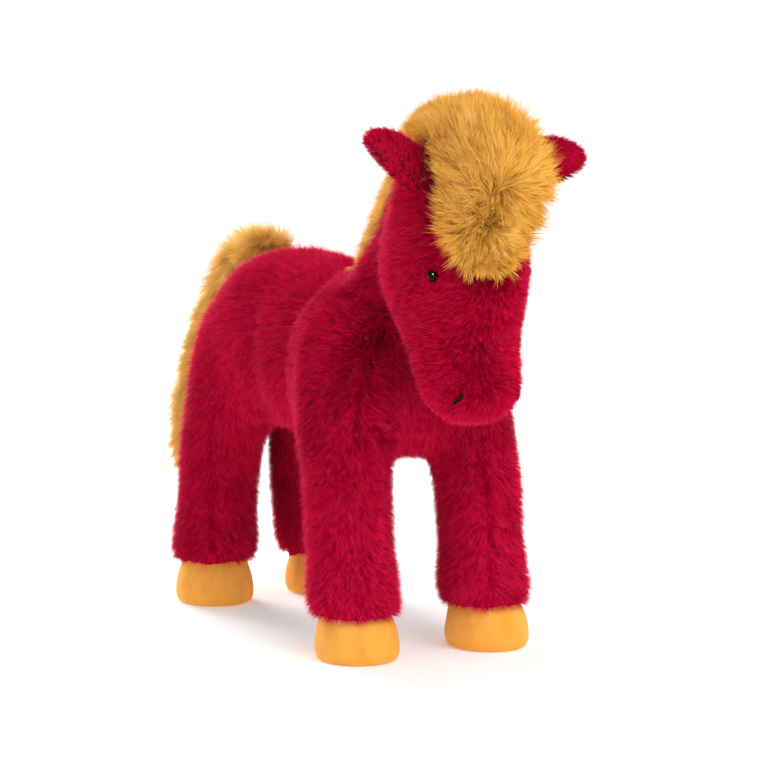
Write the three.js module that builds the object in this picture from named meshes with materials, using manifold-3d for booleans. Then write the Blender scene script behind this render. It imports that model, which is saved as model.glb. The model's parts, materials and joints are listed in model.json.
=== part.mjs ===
// A standing plush horse: panels of fur fabric sewn into a stuffed skin, with suede-cloth hooves, a long-pile
// mane, forelock and tail, and button eyes. Millimetres, +Z up, nose towards -Y, the horse's left towards +X.
// The ears and the tail turn on the seams that hold them; everything else is sewn fast to the body.
import * as THREE from "three";
import { mergeVertices } from "three/addons/utils/BufferGeometryUtils.js";
import Module from "manifold-3d";

const wasm = await Module();
wasm.setup();

// Cloth and clearances
const furCloth = 3.4; // fur fabric with its short pile laid flat
const suede = 1.6;
const seam = 0.35; // between pieces that are sewn or seated together
const overrun = 60; // how far a cutting block runs past what it cuts

// Body from chest to rump
const barrel = {
  frontY: -74, length: 154, width: 104, height: 94, middleZ: 148, chestDome: 26, rumpDome: 30,
};
const barrelShares = [
  { along: 0, rise: -0.03, across: 0.42, deep: 0.49 },
  { along: 0.22, rise: -0.01, across: 0.48, deep: 0.495 },
  { along: 0.4, rise: -0.005, across: 0.455, deep: 0.478 },
  { along: 0.643, rise: 0.016, across: 0.46, deep: 0.5 },
  { along: 0.838, rise: 0.032, across: 0.47, deep: 0.5 },
  { along: 1, rise: 0.016, across: 0.425, deep: 0.436 },
];

const rumpY = barrel.frontY + barrel.length;

// Neck, from inside the shoulders up into the head
const neck = {
  behindChest: 24, aboveMiddle: 2, reach: 54, lift: 86, width: 66, depth: 60, dome: 16,
};
const neckShares = [
  { forward: 0, up: 0, across: 0.6, deep: 0.6 },
  { forward: 0.3, up: 0.39, across: 0.42, deep: 0.42 },
  { forward: 0.63, up: 0.7, across: 0.31, deep: 0.38 },
  { forward: 1, up: 1, across: 0.3, deep: 0.4 },
];

// Head, hanging from the crown down to the muzzle
const head = {
  pastNeck: 20, aboveNeck: 4, reach: 14, drop: 97, width: 64, depth: 92, crownDome: 26, muzzleDome: 20,
};
const headShares = [
  { forward: 0, down: 0, across: 0.47, deep: 0.39 },
  { forward: 0, down: 0.23, across: 0.5, deep: 0.5 },
  { forward: -0.2, down: 0.44, across: 0.5, deep: 0.575 },
  { forward: 0.2, down: 0.64, across: 0.453, deep: 0.455 },
  { forward: 0.57, down: 0.825, across: 0.43, deep: 0.32 },
  { forward: 1.15, down: 1, across: 0.42, deep: 0.282 },
];

// Legs: up is a share of height, inset and back are shares of how far the top lies in and back
const hemZ = 24; // lower edge of the fur on every leg
const frontLeg = {
  pastBody: -12.8, soleBack: -3.6, track: 76, height: 131, inset: 11, back: 24.8, width: 46, depth: 46,
  footDome: 6, topDome: 22,
};
const frontLegShares = [
  { up: -0.06, inset: 0, back: -0.02, across: 0.47, deep: 0.48 },
  { up: 0.02, inset: 0, back: 0.01, across: 0.483, deep: 0.49 },
  { up: 0.35, inset: 0, back: 0.19, across: 0.496, deep: 0.5 },
  { up: 0.58, inset: 0.1, back: 0.4, across: 0.5, deep: 0.543 },
  { up: 0.81, inset: 0.7, back: 0.76, across: 0.565, deep: 0.75 },
  { up: 1, inset: 1, back: 1, across: 0.522, deep: 0.71 },
];
const hindLeg = {
  pastBody: 10, soleBack: 0.4, track: 68, height: 126, inset: 10, back: -18, width: 46, depth: 46,
  footDome: 6, topDome: 26,
};
const hindLegShares = [
  { up: -0.06, inset: 0, back: 0, across: 0.475, deep: 0.48 },
  { up: 0.02, inset: 0, back: 0, across: 0.485, deep: 0.5 },
  { up: 0.285, inset: 0.2, back: -0.02, across: 0.487, deep: 0.5 },
  { up: 0.53, inset: 0.45, back: 0.06, across: 0.49, deep: 0.585 },
  { up: 0.76, inset: 0.8, back: 0.55, across: 0.52, deep: 0.69 },
  { up: 1, inset: 1, back: 1, across: 0.565, deep: 0.78 },
];

// Hooves: a suede wall whose top is sewn inside the leg's hem, and a flat sole
const hoof = { width: 44, depth: 48, height: 33, footDome: 3, soleLift: 0.5 };
const hoofShares = [
  // slide is a share of the way from the sole's centre to the leg's
  { up: 0, slide: 0, across: 0.46, deep: 0.46 },
  { up: 0.09, slide: 0, across: 0.494, deep: 0.494 },
  { up: 0.26, slide: 0.1, across: 0.5, deep: 0.494 },
  { up: 0.46, slide: 0.4, across: 0.475, deep: 0.462 },
  { up: 0.71, slide: 1, across: 0.415, deep: 0.386 },
  { up: 1, slide: 1, across: 0.38, deep: 0.35 },
];

// Panels: the strip under the chest and belly, and the strip down the face
const gusset = { halfWidth: 15, aboveMiddle: 2, behindCrown: 12, belowCrown: 34, chestLap: 10 };
const face = { muzzleHalf: 12, noseHalf: 15, browHalf: 17, crownHalf: 19 };

// Ears: a fur leaf of two layers, hinged where its root is sewn to the head
const ear = {
  rootX: 25.5, aheadOfCrown: 13, aboveCrown: 10, rootHalf: 15.5, layer: 3, edge: 0.9, cup: 5, rollRadius: 3.8,
  sweepDegrees: 20, tipShare: 0.35, pointShare: 0.1,
};
const earUpShares = { back: 0.44, up: 0.9 };
const earWidthShares = [1, 0.98, 0.94, 0.87, 0.77, 0.64, 0.42]; // from the root to the tip
const earAcrossShares = [-1, -0.8, -0.4, 0, 0.4, 0.8, 1]; // from the lower edge to the upper
const earLeft = { length: 41, raised: 1, tiltDegrees: 6 };
const earRight = { length: 37, raised: -1.5, tiltDegrees: 29 };

// Long-pile pieces
const forelock = { width: 64, thick: 44, frontDome: 10, backDome: 8 };
const forelockShares = [
  // x, y and z are shares of the head's width, depth and drop, counted from its crown
  { x: 0.03, y: 0.3, z: 0.2, across: 0.34, deep: 0.3 },
  { x: 0.03, y: 0.04, z: 0.29, across: 0.42, deep: 0.39 },
  { x: 0.02, y: -0.26, z: 0.25, across: 0.48, deep: 0.5 },
  { x: -0.01, y: -0.46, z: 0.04, across: 0.505, deep: 0.46 },
  { x: -0.03, y: -0.52, z: -0.19, across: 0.44, deep: 0.36 },
  { x: -0.04, y: -0.55, z: -0.34, across: 0.3, deep: 0.2 },
];
const mane = { width: 31, thick: 26, lowDome: 8, highDome: 6 };
const maneShares = [
  // y and z are shares of the neck's reach and lift, counted from its root
  { y: 0.24, z: 0.46, across: 0.36, deep: 0.3 },
  { y: 0, z: 0.65, across: 0.46, deep: 0.41 },
  { y: -0.34, z: 0.93, across: 0.48, deep: 0.46 },
  { y: -0.62, z: 1.2, across: 0.44, deep: 0.5 },
  { y: -0.85, z: 1.3, across: 0.42, deep: 0.4 },
];
const tail = {
  inset: 4, aboveMiddle: 48.5, hingeRadius: 4.5, hingeHalf: 11, dockLength: 35.5, dockWidth: 28, dockThick: 14,
  stubRadius: 7, stubLength: 11, swingAboveMiddle: 42, drop: 118, lean: -12, width: 56, depth: 34,
  topDome: 9, tipDome: 14,
};
const dockShares = [
  { along: 0.06, rise: 0, across: 0.38, deep: 0.26 },
  { along: 0.35, rise: 0.2, across: 0.5, deep: 0.48 },
  { along: 0.7, rise: 0.1, across: 0.5, deep: 0.5 },
  { along: 0.94, rise: -0.25, across: 0.44, deep: 0.5 },
];
const switchShares = [
  { back: 0.3, down: 0.01, lean: 0, across: 0.25, deep: 0.38 },
  { back: 0.46, down: 0.17, lean: 0.1, across: 0.34, deep: 0.43 },
  { back: 0.62, down: 0.42, lean: 0.5, across: 0.43, deep: 0.46 },
  { back: 0.68, down: 0.72, lean: 0.95, across: 0.49, deep: 0.44 },
  { back: 0.64, down: 0.95, lean: 1.3, across: 0.42, deep: 0.34 },
];

// Eyes on shanks with washers, and stitched nostrils
const eye = {
  aheadOfCrown: 25, belowCrown: 40.5, radius: 3.1, bulge: 2.5, shankRadius: 1.2, shankLength: 7.5, sunk: 0.8,
  washerRadius: 5, washerThick: 1.2, pocket: 15,
};
const beadShares = [0.2, 0.45, 0.72]; // up the quarter turn of the bead
const nostril = {
  x: 17.8, belowDrop: 4, length: 7.6, width: 2.4, thick: 1.8, sunk: 0.9, slantDegrees: -38,
};

const group = new THREE.Group();
const crimson = { color: 0xb3062f, roughness: 0.95, metalness: 0 };
const gold = { color: 0xd9a043, roughness: 0.9, metalness: 0 };
const orange = { color: 0xf3a136, roughness: 0.85, metalness: 0 };
const white = { color: 0xf1efe9, roughness: 1, metalness: 0 };
const black = { color: 0x0b0a0a, roughness: 0.08, metalness: 0 };
const nylon = { color: 0xe2e0da, roughness: 0.5, metalness: 0 };

// Facets of what shows, and of what the cloth hides
const smooth = { sides: 16, steps: 2, domeRings: 3 };
const slim = { sides: 12, steps: 2, domeRings: 2 };
const plain = { sides: 12, steps: 1, domeRings: 2 };
const hidden = { sides: 8, steps: 1, domeRings: 2 };
const footing = { sides: 14, steps: 1, domeRings: 1 };
const filling = { sides: 12, steps: 1, domeRings: 1 };

const point = (x, y, z) => new THREE.Vector3(x, y, z);

/** A closed geometry as a solid that can be joined and cut, with its faces turned outwards. */
function solidOf(geometry, weld = 1e-4) {
  const bare = geometry.clone();
  bare.deleteAttribute("normal");
  bare.deleteAttribute("uv");
  const merged = mergeVertices(bare, weld);
  const vertProperties = new Float32Array(merged.attributes.position.array);
  const triVerts = new Uint32Array(merged.index.array);
  const solid = new wasm.Manifold(new wasm.Mesh({ numProp: 3, vertProperties, triVerts }));
  if (solid.volume() > 0) return solid;
  return new wasm.Manifold(new wasm.Mesh({ numProp: 3, vertProperties, triVerts: triVerts.reverse() }));
}

/** The largest body of a solid, without the crumbs that a cut can leave. */
function largest(solid) {
  return solid.decompose().reduce((best, each) => (each.volume() > best.volume() ? each : best));
}

function geometryOf(solid) {
  const mesh = solid.getMesh();
  const geometry = new THREE.BufferGeometry();
  geometry.setAttribute("position", new THREE.BufferAttribute(new Float32Array(mesh.vertProperties), 3));
  geometry.setIndex(new THREE.BufferAttribute(new Uint32Array(mesh.triVerts), 1));
  return geometry;
}

/** Adds one named piece of the horse. */
function add(name, solid, finish) {
  const whole = largest(solidOf(geometryOf(largest(solid)), 1e-3));
  const geometry = geometryOf(whole);
  geometry.computeVertexNormals();
  const piece = new THREE.Mesh(geometry, new THREE.MeshStandardMaterial(finish));
  piece.name = name;
  group.add(piece);
}

/** Closes a stack of equal rings with a tip at each end. */
function closeRings(rings, first, last) {
  const sides = rings[0].length;
  const points = [first, ...rings.flat(), last];
  const at = (ring, k) => 1 + ring * sides + (k % sides);
  const faces = [];
  for (let k = 0; k < sides; k++) {
    faces.push(0, at(0, k + 1), at(0, k));
    faces.push(points.length - 1, at(rings.length - 1, k), at(rings.length - 1, k + 1));
    for (let ring = 0; ring + 1 < rings.length; ring++) {
      faces.push(at(ring, k), at(ring, k + 1), at(ring + 1, k + 1));
      faces.push(at(ring, k), at(ring + 1, k + 1), at(ring + 1, k));
    }
  }
  const geometry = new THREE.BufferGeometry();
  geometry.setAttribute("position", new THREE.Float32BufferAttribute(points.flatMap((p) => p.toArray()), 3));
  geometry.setIndex(faces);
  return solidOf(geometry);
}

/**
 * A stuffed form: oval sections along a smooth spine, each {at, across, deep}, with a rounded end at each
 * side. grow swells or shrinks it all round, for a clearance or for what lies inside its cloth. The sections
 * lie square to the spine, or to a given direction.
 */
function stuffed(stations, { domes, grow = 0, facets = smooth, square }) {
  const { sides, steps, domeRings } = facets;
  const spine = new THREE.CatmullRomCurve3(stations.map((s) => s.at));
  const sizes = new THREE.CatmullRomCurve3(stations.map((s) => point(s.across, s.deep, 0)));
  const ringAt = (share, push, scale) => {
    const along = square ?? spine.getTangent(share);
    const across = point(1, 0, 0).addScaledVector(along, -along.x).normalize();
    const deep = along.clone().cross(across);
    const size = sizes.getPoint(share);
    const centre = spine.getPoint(share).addScaledVector(along, push);
    return Array.from({ length: sides }, (_, k) => {
      const angle = (2 * Math.PI * (k + 0.5)) / sides;
      return centre
        .clone()
        .addScaledVector(across, Math.cos(angle) * (size.x + grow) * scale)
        .addScaledVector(deep, Math.sin(angle) * (size.y + grow) * scale);
    });
  };
  const [lowDome, highDome] = domes.map((dome) => dome + grow);
  const turn = (k) => (Math.PI * k) / (2 * domeRings);
  const rings = [];
  for (let k = domeRings - 1; k >= 1; k--) {
    rings.push(ringAt(0, -lowDome * Math.sin(turn(k)), Math.cos(turn(k))));
  }
  const spans = (stations.length - 1) * steps;
  for (let k = 0; k <= spans; k++) rings.push(ringAt(k / spans, 0, 1));
  for (let k = 1; k < domeRings; k++) {
    rings.push(ringAt(1, highDome * Math.sin(turn(k)), Math.cos(turn(k))));
  }
  const tip = (share, push) => spine.getPoint(share).addScaledVector(square ?? spine.getTangent(share), push);
  return closeRings(rings, tip(0, -lowDome), tip(1, highDome));
}

/** A block between two corners, to cut with. */
function block(low, high) {
  const size = high.clone().sub(low);
  return solidOf(new THREE.BoxGeometry(size.x, size.y, size.z).translate(
    (low.x + high.x) / 2, (low.y + high.y) / 2, (low.z + high.z) / 2));
}

/** A prism over an outline of [x, z] pairs, from one y to another. */
function prismAlongY(outline, fromY, toY) {
  const shape = new THREE.Shape(outline.map(([x, z]) => new THREE.Vector2(x, z)));
  const geometry = new THREE.ExtrudeGeometry(shape, { depth: toY - fromY, bevelEnabled: false });
  return solidOf(geometry.rotateX(Math.PI / 2).translate(0, toY, 0));
}

/** A prism over an outline of [y, z] pairs, centred on x = 0. */
function prismAlongX(outline, halfWidth) {
  const shape = new THREE.Shape(outline.map(([y, z]) => new THREE.Vector2(y, z)));
  const geometry = new THREE.ExtrudeGeometry(shape, { depth: 2 * halfWidth, bevelEnabled: false });
  geometry.translate(0, 0, -halfWidth);
  const turn = new THREE.Matrix4().makeBasis(point(0, 1, 0), point(0, 0, 1), point(1, 0, 0));
  return solidOf(geometry.applyMatrix4(turn));
}

/** A turned form with its axis from a point in a direction; profile is [radius, distance] pairs. */
function turned(profile, from, direction, segments) {
  const outline = profile.map(([radius, along]) => new THREE.Vector2(radius, along));
  const geometry = new THREE.LatheGeometry(outline, segments);
  const spin = new THREE.Quaternion().setFromUnitVectors(point(0, 1, 0), direction);
  return solidOf(geometry.applyQuaternion(spin).translate(from.x, from.y, from.z));
}

/** A round bar about an axis, between two distances along it. */
function bar(radius, from, direction, start, end, segments = 12) {
  return turned([[0, start], [radius, start], [radius, end], [0, end]], from, direction, segments);
}

// Places that follow from the body's ends and middle
const neckRoot = point(0, barrel.frontY + neck.behindChest, barrel.middleZ + neck.aboveMiddle);
const crown = point(0, neckRoot.y - neck.reach - head.pastNeck, neckRoot.z + neck.lift + head.aboveNeck);
const muzzleZ = crown.z - head.drop;
const frontLegY = barrel.frontY + frontLeg.pastBody;
const hindLegY = rumpY + hindLeg.pastBody;
const tailHinge = point(0, rumpY - tail.inset, barrel.middleZ + tail.aboveMiddle);

// Stations in millimetres, from the shares
const barrelStations = barrelShares.map((s) => ({
  at: point(0, barrel.frontY + s.along * barrel.length, barrel.middleZ + s.rise * barrel.height),
  across: s.across * barrel.width,
  deep: s.deep * barrel.height,
}));
const neckStations = neckShares.map((s) => ({
  at: point(0, neckRoot.y - s.forward * neck.reach, neckRoot.z + s.up * neck.lift),
  across: s.across * neck.width,
  deep: s.deep * neck.depth,
}));
const headStations = headShares.map((s) => ({
  at: point(0, crown.y - s.forward * head.reach, crown.z - s.down * head.drop),
  across: s.across * head.width,
  deep: s.deep * head.depth,
}));
const legStations = ({ leg, shares, side, y }) =>
  shares.map((s) => ({
    at: point(
      side * (leg.track / 2 - s.inset * leg.inset), y + s.back * leg.back, hemZ + s.up * leg.height),
    across: s.across * leg.width,
    deep: s.deep * leg.depth,
  }));

// The stuffed forms at a given growth
const facetsFor = (grow) => (grow < 0 ? plain : smooth);
const barrelAt = (grow) =>
  stuffed(barrelStations, { domes: [barrel.chestDome, barrel.rumpDome], grow, facets: facetsFor(grow) });
const neckAt = (grow) =>
  stuffed(neckStations, { domes: [neck.dome, neck.dome], grow, facets: facetsFor(grow) });
const bodyAt = (grow) => barrelAt(grow).add(neckAt(grow));
const headDomes = [head.crownDome, head.muzzleDome];
const headAt = (grow) =>
  stuffed(headStations, { domes: headDomes, grow, facets: facetsFor(grow), square: point(0, 0, -1) });
const core = -furCloth - 2 * seam;
const body = bodyAt(0);
const bodyClear = bodyAt(seam);
const headSolid = headAt(0);
const headClear = headAt(seam);

// Legs, each with its skin in an outer and an inner panel, its stuffing, and its hoof
const legs = [
  { name: "front_left", leg: frontLeg, shares: frontLegShares, side: 1, y: frontLegY },
  { name: "front_right", leg: frontLeg, shares: frontLegShares, side: -1, y: frontLegY },
  { name: "hind_left", leg: hindLeg, shares: hindLegShares, side: 1, y: hindLegY },
  { name: "hind_right", leg: hindLeg, shares: hindLegShares, side: -1, y: hindLegY },
];
const underHem = block(point(-overrun * 2, -overrun * 3, -overrun), point(overrun * 2, overrun * 3, hemZ));
const underHoofTop = block(
  point(-overrun * 2, -overrun * 3, -overrun), point(overrun * 2, overrun * 3, hoof.height + seam));
const legHollows = [];
for (const limb of legs) {
  const { name, leg, side, y } = limb;
  const stations = legStations(limb);
  const at = (grow, facets) => stuffed(stations, { domes: [leg.footDome, leg.topDome], grow, facets });
  const hollow = at(-furCloth, hidden);
  legHollows.push(hollow);
  const sole = point((side * leg.track) / 2, y + leg.soleBack, 0);
  const hoofStations = hoofShares.map((s) => ({
    at: point(sole.x, sole.y + s.slide * (y - sole.y), s.up * hoof.height),
    across: s.across * hoof.width,
    deep: s.deep * hoof.depth,
  }));
  const hoofAt = (grow, dome, facets = footing) =>
    stuffed(hoofStations, { domes: [dome, dome], grow, facets });
  const throughHoof = hoof.footDome + overrun;
  const slabFrom = (low, high) => block(
    point(sole.x - overrun, sole.y - overrun, low), point(sole.x + overrun, sole.y + overrun, high));
  const sleeve = at(0, slim).subtract(hollow).subtract(bodyClear).subtract(underHem);
  const skin = largest(sleeve.subtract(hoofAt(seam, hoof.footDome)));
  const seamLine = (shift) => [
    ...stations.map((s) => [s.at.x + side * shift, s.at.z]),
    [stations.at(-1).at.x + side * shift, stations.at(-1).at.z + overrun],
  ];
  const outside = (shift) => {
    const line = seamLine(shift);
    const far = side * overrun * 2;
    const lowZ = line[0][1] - overrun;
    const outline = [[line[0][0], lowZ], ...line, [far, line.at(-1)[1]], [far, lowZ]];
    return prismAlongY(outline, y - overrun, y + overrun);
  };
  add(`${name}_leg_outer_panel`, skin.intersect(outside(seam / 2)), crimson);
  add(`${name}_leg_inner_panel`, skin.subtract(outside(-seam / 2)), crimson);

  const wallSlab = slabFrom(hoof.soleLift, hoof.height);
  const wall = hoofAt(0, hoof.footDome).intersect(wallSlab).subtract(hoofAt(-suede, throughHoof));
  add(`${name}_hoof_wall`, wall, orange);
  const soleSlab = slabFrom(0, suede);
  add(`${name}_hoof_sole`, hoofAt(-suede - seam, throughHoof).intersect(soleSlab), orange);
  const fillSlab = slabFrom(suede + seam, hoof.height + 2 * suede);
  const hoofFill = hoofAt(-suede - 2 * seam, throughHoof, filling).intersect(fillSlab);
  const insideBody = barrelAt(-furCloth).add(neckAt(-furCloth));
  const legFill = at(core, hidden).subtract(insideBody).subtract(underHoofTop);
  add(`${name}_leg_stuffing`, largest(legFill).add(hoofFill), white);
}

// Torso skin: two sides meeting along the back, and a strip from the throat under the chest to the tail
const hollowBody = bodyAt(-furCloth);
let torsoSkin = body.subtract(hollowBody).subtract(headClear);
for (const hollow of legHollows) torsoSkin = torsoSkin.subtract(hollow);
const hingeAxis = point(1, 0, 0);
torsoSkin = torsoSkin.subtract(
  bar(tail.hingeRadius + seam, tailHinge, hingeAxis, -tail.hingeHalf - seam, tail.hingeHalf + seam));
torsoSkin = largest(torsoSkin);
const throat = point(0, crown.y + gusset.behindCrown, crown.z - gusset.belowCrown);
const stripTopZ = barrel.middleZ + gusset.aboveMiddle;
const chestEndY = barrel.frontY + gusset.chestLap;
const strip = (shift) => prismAlongX(
  [
    [throat.y - overrun, throat.z + shift],
    [throat.y, throat.z + shift],
    [neckRoot.y, stripTopZ + shift],
    [rumpY + overrun, stripTopZ + shift],
    [rumpY + overrun, -overrun],
    [throat.y - overrun, -overrun],
  ],
  gusset.halfWidth + shift,
);
const frontOf = (y) => block(point(-overrun * 2, -overrun * 4, -overrun), point(overrun * 2, y, overrun * 5));
const leftOf = (x) => block(point(x, -overrun * 4, -overrun), point(overrun * 3, overrun * 4, overrun * 6));
const underStrip = torsoSkin.intersect(strip(0));
add("chest_gusset", underStrip.intersect(frontOf(chestEndY)), crimson);
add("belly_gusset", underStrip.subtract(frontOf(chestEndY + seam)), crimson);
const flanks = torsoSkin.subtract(strip(seam));
add("torso_left_panel", flanks.intersect(leftOf(seam / 2)), crimson);
add("torso_right_panel", flanks.subtract(leftOf(-seam / 2)), crimson);
add("torso_stuffing", barrelAt(core).subtract(headClear), white);
const headHollow = headAt(-furCloth);
add("neck_stuffing", neckAt(core).subtract(barrelAt(-furCloth)).subtract(headHollow), white);

// Where the eyes and nostrils sit on the head's skin: at a height, and at a given y or x
const headSpine = new THREE.CatmullRomCurve3(headStations.map((s) => s.at));
const headSizes = new THREE.CatmullRomCurve3(headStations.map((s) => point(s.across, s.deep, 0)));
function headSection(z) {
  const share = Math.min(1, (crown.z - z) / head.drop);
  const below = Math.max(0, muzzleZ - z);
  const next = Math.max(1, headShares.findIndex((s) => s.down >= share));
  const [a, b] = [headShares[next - 1], headShares[next]];
  const along = (next - 1 + (share - a.down) / (b.down - a.down)) / (headShares.length - 1);
  const shrink = Math.sqrt(1 - (below / head.muzzleDome) ** 2);
  const size = headSizes.getPoint(along).multiplyScalar(shrink);
  return { y: headSpine.getPoint(along).y, across: size.x, deep: size.y };
}
function onHead({ x, y, z }) {
  const { y: middle, across, deep } = headSection(z);
  const angle = y === undefined ? -Math.acos(x / across) : Math.asin((y - middle) / deep);
  const spot = (angleHere, height) => {
    const section = headSection(height);
    const y = section.y + section.deep * Math.sin(angleHere);
    return point(section.across * Math.cos(angleHere), y, height);
  };
  const nudgeShare = 1e-3;
  const at = spot(angle, z);
  const round = spot(angle + nudgeShare, z).sub(at);
  const rise = spot(angle, z + nudgeShare * head.drop).sub(at);
  return { at, normal: round.cross(rise).normalize() };
}
const mirrored = (vector, side) => point(side * vector.x, vector.y, vector.z);

// Head skin: two sides and the strip down the face
let headSkin = headSolid.subtract(headHollow).subtract(neckAt(-furCloth));
let headFill = headAt(core);
const eyeSpot = onHead({ y: crown.y - eye.aheadOfCrown, z: crown.z - eye.belowCrown });
const nostrilSpot = onHead({ x: nostril.x, z: muzzleZ - nostril.belowDrop });
const trims = [];
for (const [sideName, side] of [["left", 1], ["right", -1]]) {
  const out = mirrored(eyeSpot.normal, side);
  const seat = mirrored(eyeSpot.at, side).addScaledVector(out, -eye.sunk);
  const bead = turned(
    [
      [0, -eye.shankLength], [eye.shankRadius, -eye.shankLength], [eye.shankRadius, 0], [eye.radius, 0],
      ...beadShares.map((share) => [
        eye.radius * Math.cos((share * Math.PI) / 2), eye.bulge * Math.sin((share * Math.PI) / 2)]),
      [0, eye.bulge],
    ],
    seat, out, 14);
  trims.push([`eye_${sideName}`, bead, black]);
  headSkin = headSkin.subtract(bar(eye.radius + seam, seat, out, -seam, eye.pocket));
  headSkin = headSkin.subtract(bar(eye.shankRadius + seam, seat, out, -eye.pocket, eye.pocket));
  const washerFront = eye.sunk - furCloth - 3 * seam;
  const washerBack = washerFront - eye.washerThick;
  const washer = bar(eye.washerRadius, seat, out, washerBack, washerFront, 14)
    .subtract(bar(eye.shankRadius + seam / 2, seat, out, -overrun, overrun, 10));
  trims.push([`eye_washer_${sideName}`, washer, nylon]);
  headSkin = headSkin.subtract(
    bar(eye.washerRadius + seam, seat, out, washerBack - eye.radius, washerFront + seam, 14));
  headFill = headFill
    .subtract(bar(eye.washerRadius + seam, seat, out, washerBack - seam, eye.pocket))
    .subtract(bar(eye.shankRadius + seam, seat, out, -eye.shankLength - seam, eye.pocket));

  const nose = mirrored(nostrilSpot.normal, side);
  const middle = mirrored(nostrilSpot.at, side).addScaledVector(nose, nostril.thick / 2 - nostril.sunk);
  const level = point(0, 0, 1).cross(nose).normalize();
  const slant = THREE.MathUtils.degToRad(nostril.slantDegrees);
  const lie = point(0, 0, 1).multiplyScalar(Math.cos(slant)).addScaledVector(level, side * Math.sin(slant));
  const stitchAt = (grow) => {
    const ball = new THREE.SphereGeometry(1, 8, 6);
    ball.scale(nostril.width / 2 + grow, nostril.thick / 2 + grow, nostril.length / 2 + grow);
    const across = lie.clone().cross(nose).normalize();
    ball.applyMatrix4(new THREE.Matrix4().makeBasis(across, nose, across.clone().cross(nose)));
    return solidOf(ball.translate(middle.x, middle.y, middle.z));
  };
  trims.push([`nostril_stitch_${sideName}`, stitchAt(0), black]);
  headSkin = headSkin.subtract(stitchAt(seam));
}
const faceOutline = (shift) => {
  const levels = [
    [face.crownHalf, crown.z + head.crownDome + overrun],
    [face.crownHalf, crown.z],
    [face.browHalf, crown.z - head.drop / 2],
    [face.noseHalf, muzzleZ],
    [face.muzzleHalf, muzzleZ - overrun],
  ].map(([half, z]) => [half + shift, z]);
  return [...levels.map(([half, z]) => [-half, z]), ...levels.reverse()];
};
const facePrism = (shift) => prismAlongY(faceOutline(shift), crown.y - overrun * 2, crown.y + shift);

// Ears: a cupped leaf in two layers, turned about the seam at its root
function earFrame(side, { length, raised, tiltDegrees }) {
  const tilt = THREE.MathUtils.degToRad(tiltDegrees);
  const along = point(side * Math.cos(tilt), 0, Math.sin(tilt));
  const lean = point(0, earUpShares.back, earUpShares.up);
  const up = lean.clone().addScaledVector(along, -lean.dot(along)).normalize();
  const front = along.clone().cross(up).multiplyScalar(side);
  if (front.y > 0) front.negate();
  const root = point(side * ear.rootX, crown.y - ear.aheadOfCrown, crown.z + ear.aboveCrown + raised);
  return { root, along, up, front, length };
}
/** A leaf between two offsets from the ear's middle surface, low and high, both falling to the edge. */
function leaf(frame, low, high, grow = 0) {
  const steps = earWidthShares.length - 1;
  const widthAt = new THREE.CatmullRomCurve3(earWidthShares.map((share, k) => point(k / steps, share, 0)));
  const spot = (k, t, offset) => {
    const s = k / steps;
    const half = ear.rootHalf * widthAt.getPoint(s).y + grow;
    const lengthwise = Math.sqrt(Math.max(0, 1 - s ** 6));
    const fall = Math.sqrt(Math.max(0, 1 - t ** 4)) * (ear.tipShare + (1 - ear.tipShare) * lengthwise);
    const cup = ear.cup * s * t * t;
    return frame.root
      .clone()
      .addScaledVector(frame.along, (frame.length + grow) * (s - ear.pointShare * (s * t) ** 2))
      .addScaledVector(frame.up, half * t)
      .addScaledVector(frame.front, cup + offset * fall + (Math.sign(offset) * ear.edge * (1 - fall)) / 2);
  };
  const columns = earAcrossShares.length;
  const rows = steps + 1;
  const points = [];
  for (const offset of [low, high])
    for (let k = 0; k < rows; k++) for (const t of earAcrossShares) points.push(spot(k, t, offset));
  const at = (layer, k, c) => layer * rows * columns + k * columns + c;
  const faces = [];
  const quad = (a, b, c, d) => faces.push(a, b, c, a, c, d);
  for (let k = 0; k < steps; k++)
    for (let c = 0; c + 1 < columns; c++) {
      quad(at(0, k, c), at(0, k, c + 1), at(0, k + 1, c + 1), at(0, k + 1, c));
      quad(at(1, k, c), at(1, k + 1, c), at(1, k + 1, c + 1), at(1, k, c + 1));
    }
  for (let k = 0; k < steps; k++) {
    quad(at(0, k, 0), at(0, k + 1, 0), at(1, k + 1, 0), at(1, k, 0));
    const last = columns - 1;
    quad(at(0, k, last), at(1, k, last), at(1, k + 1, last), at(0, k + 1, last));
  }
  for (let c = 0; c + 1 < columns; c++) {
    quad(at(0, 0, c), at(1, 0, c), at(1, 0, c + 1), at(0, 0, c + 1));
    quad(at(0, steps, c), at(0, steps, c + 1), at(1, steps, c + 1), at(1, steps, c));
  }
  const geometry = new THREE.BufferGeometry();
  geometry.setAttribute("position", new THREE.Float32BufferAttribute(points.flatMap((p) => p.toArray()), 3));
  geometry.setIndex(faces);
  return solidOf(geometry);
}
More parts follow.
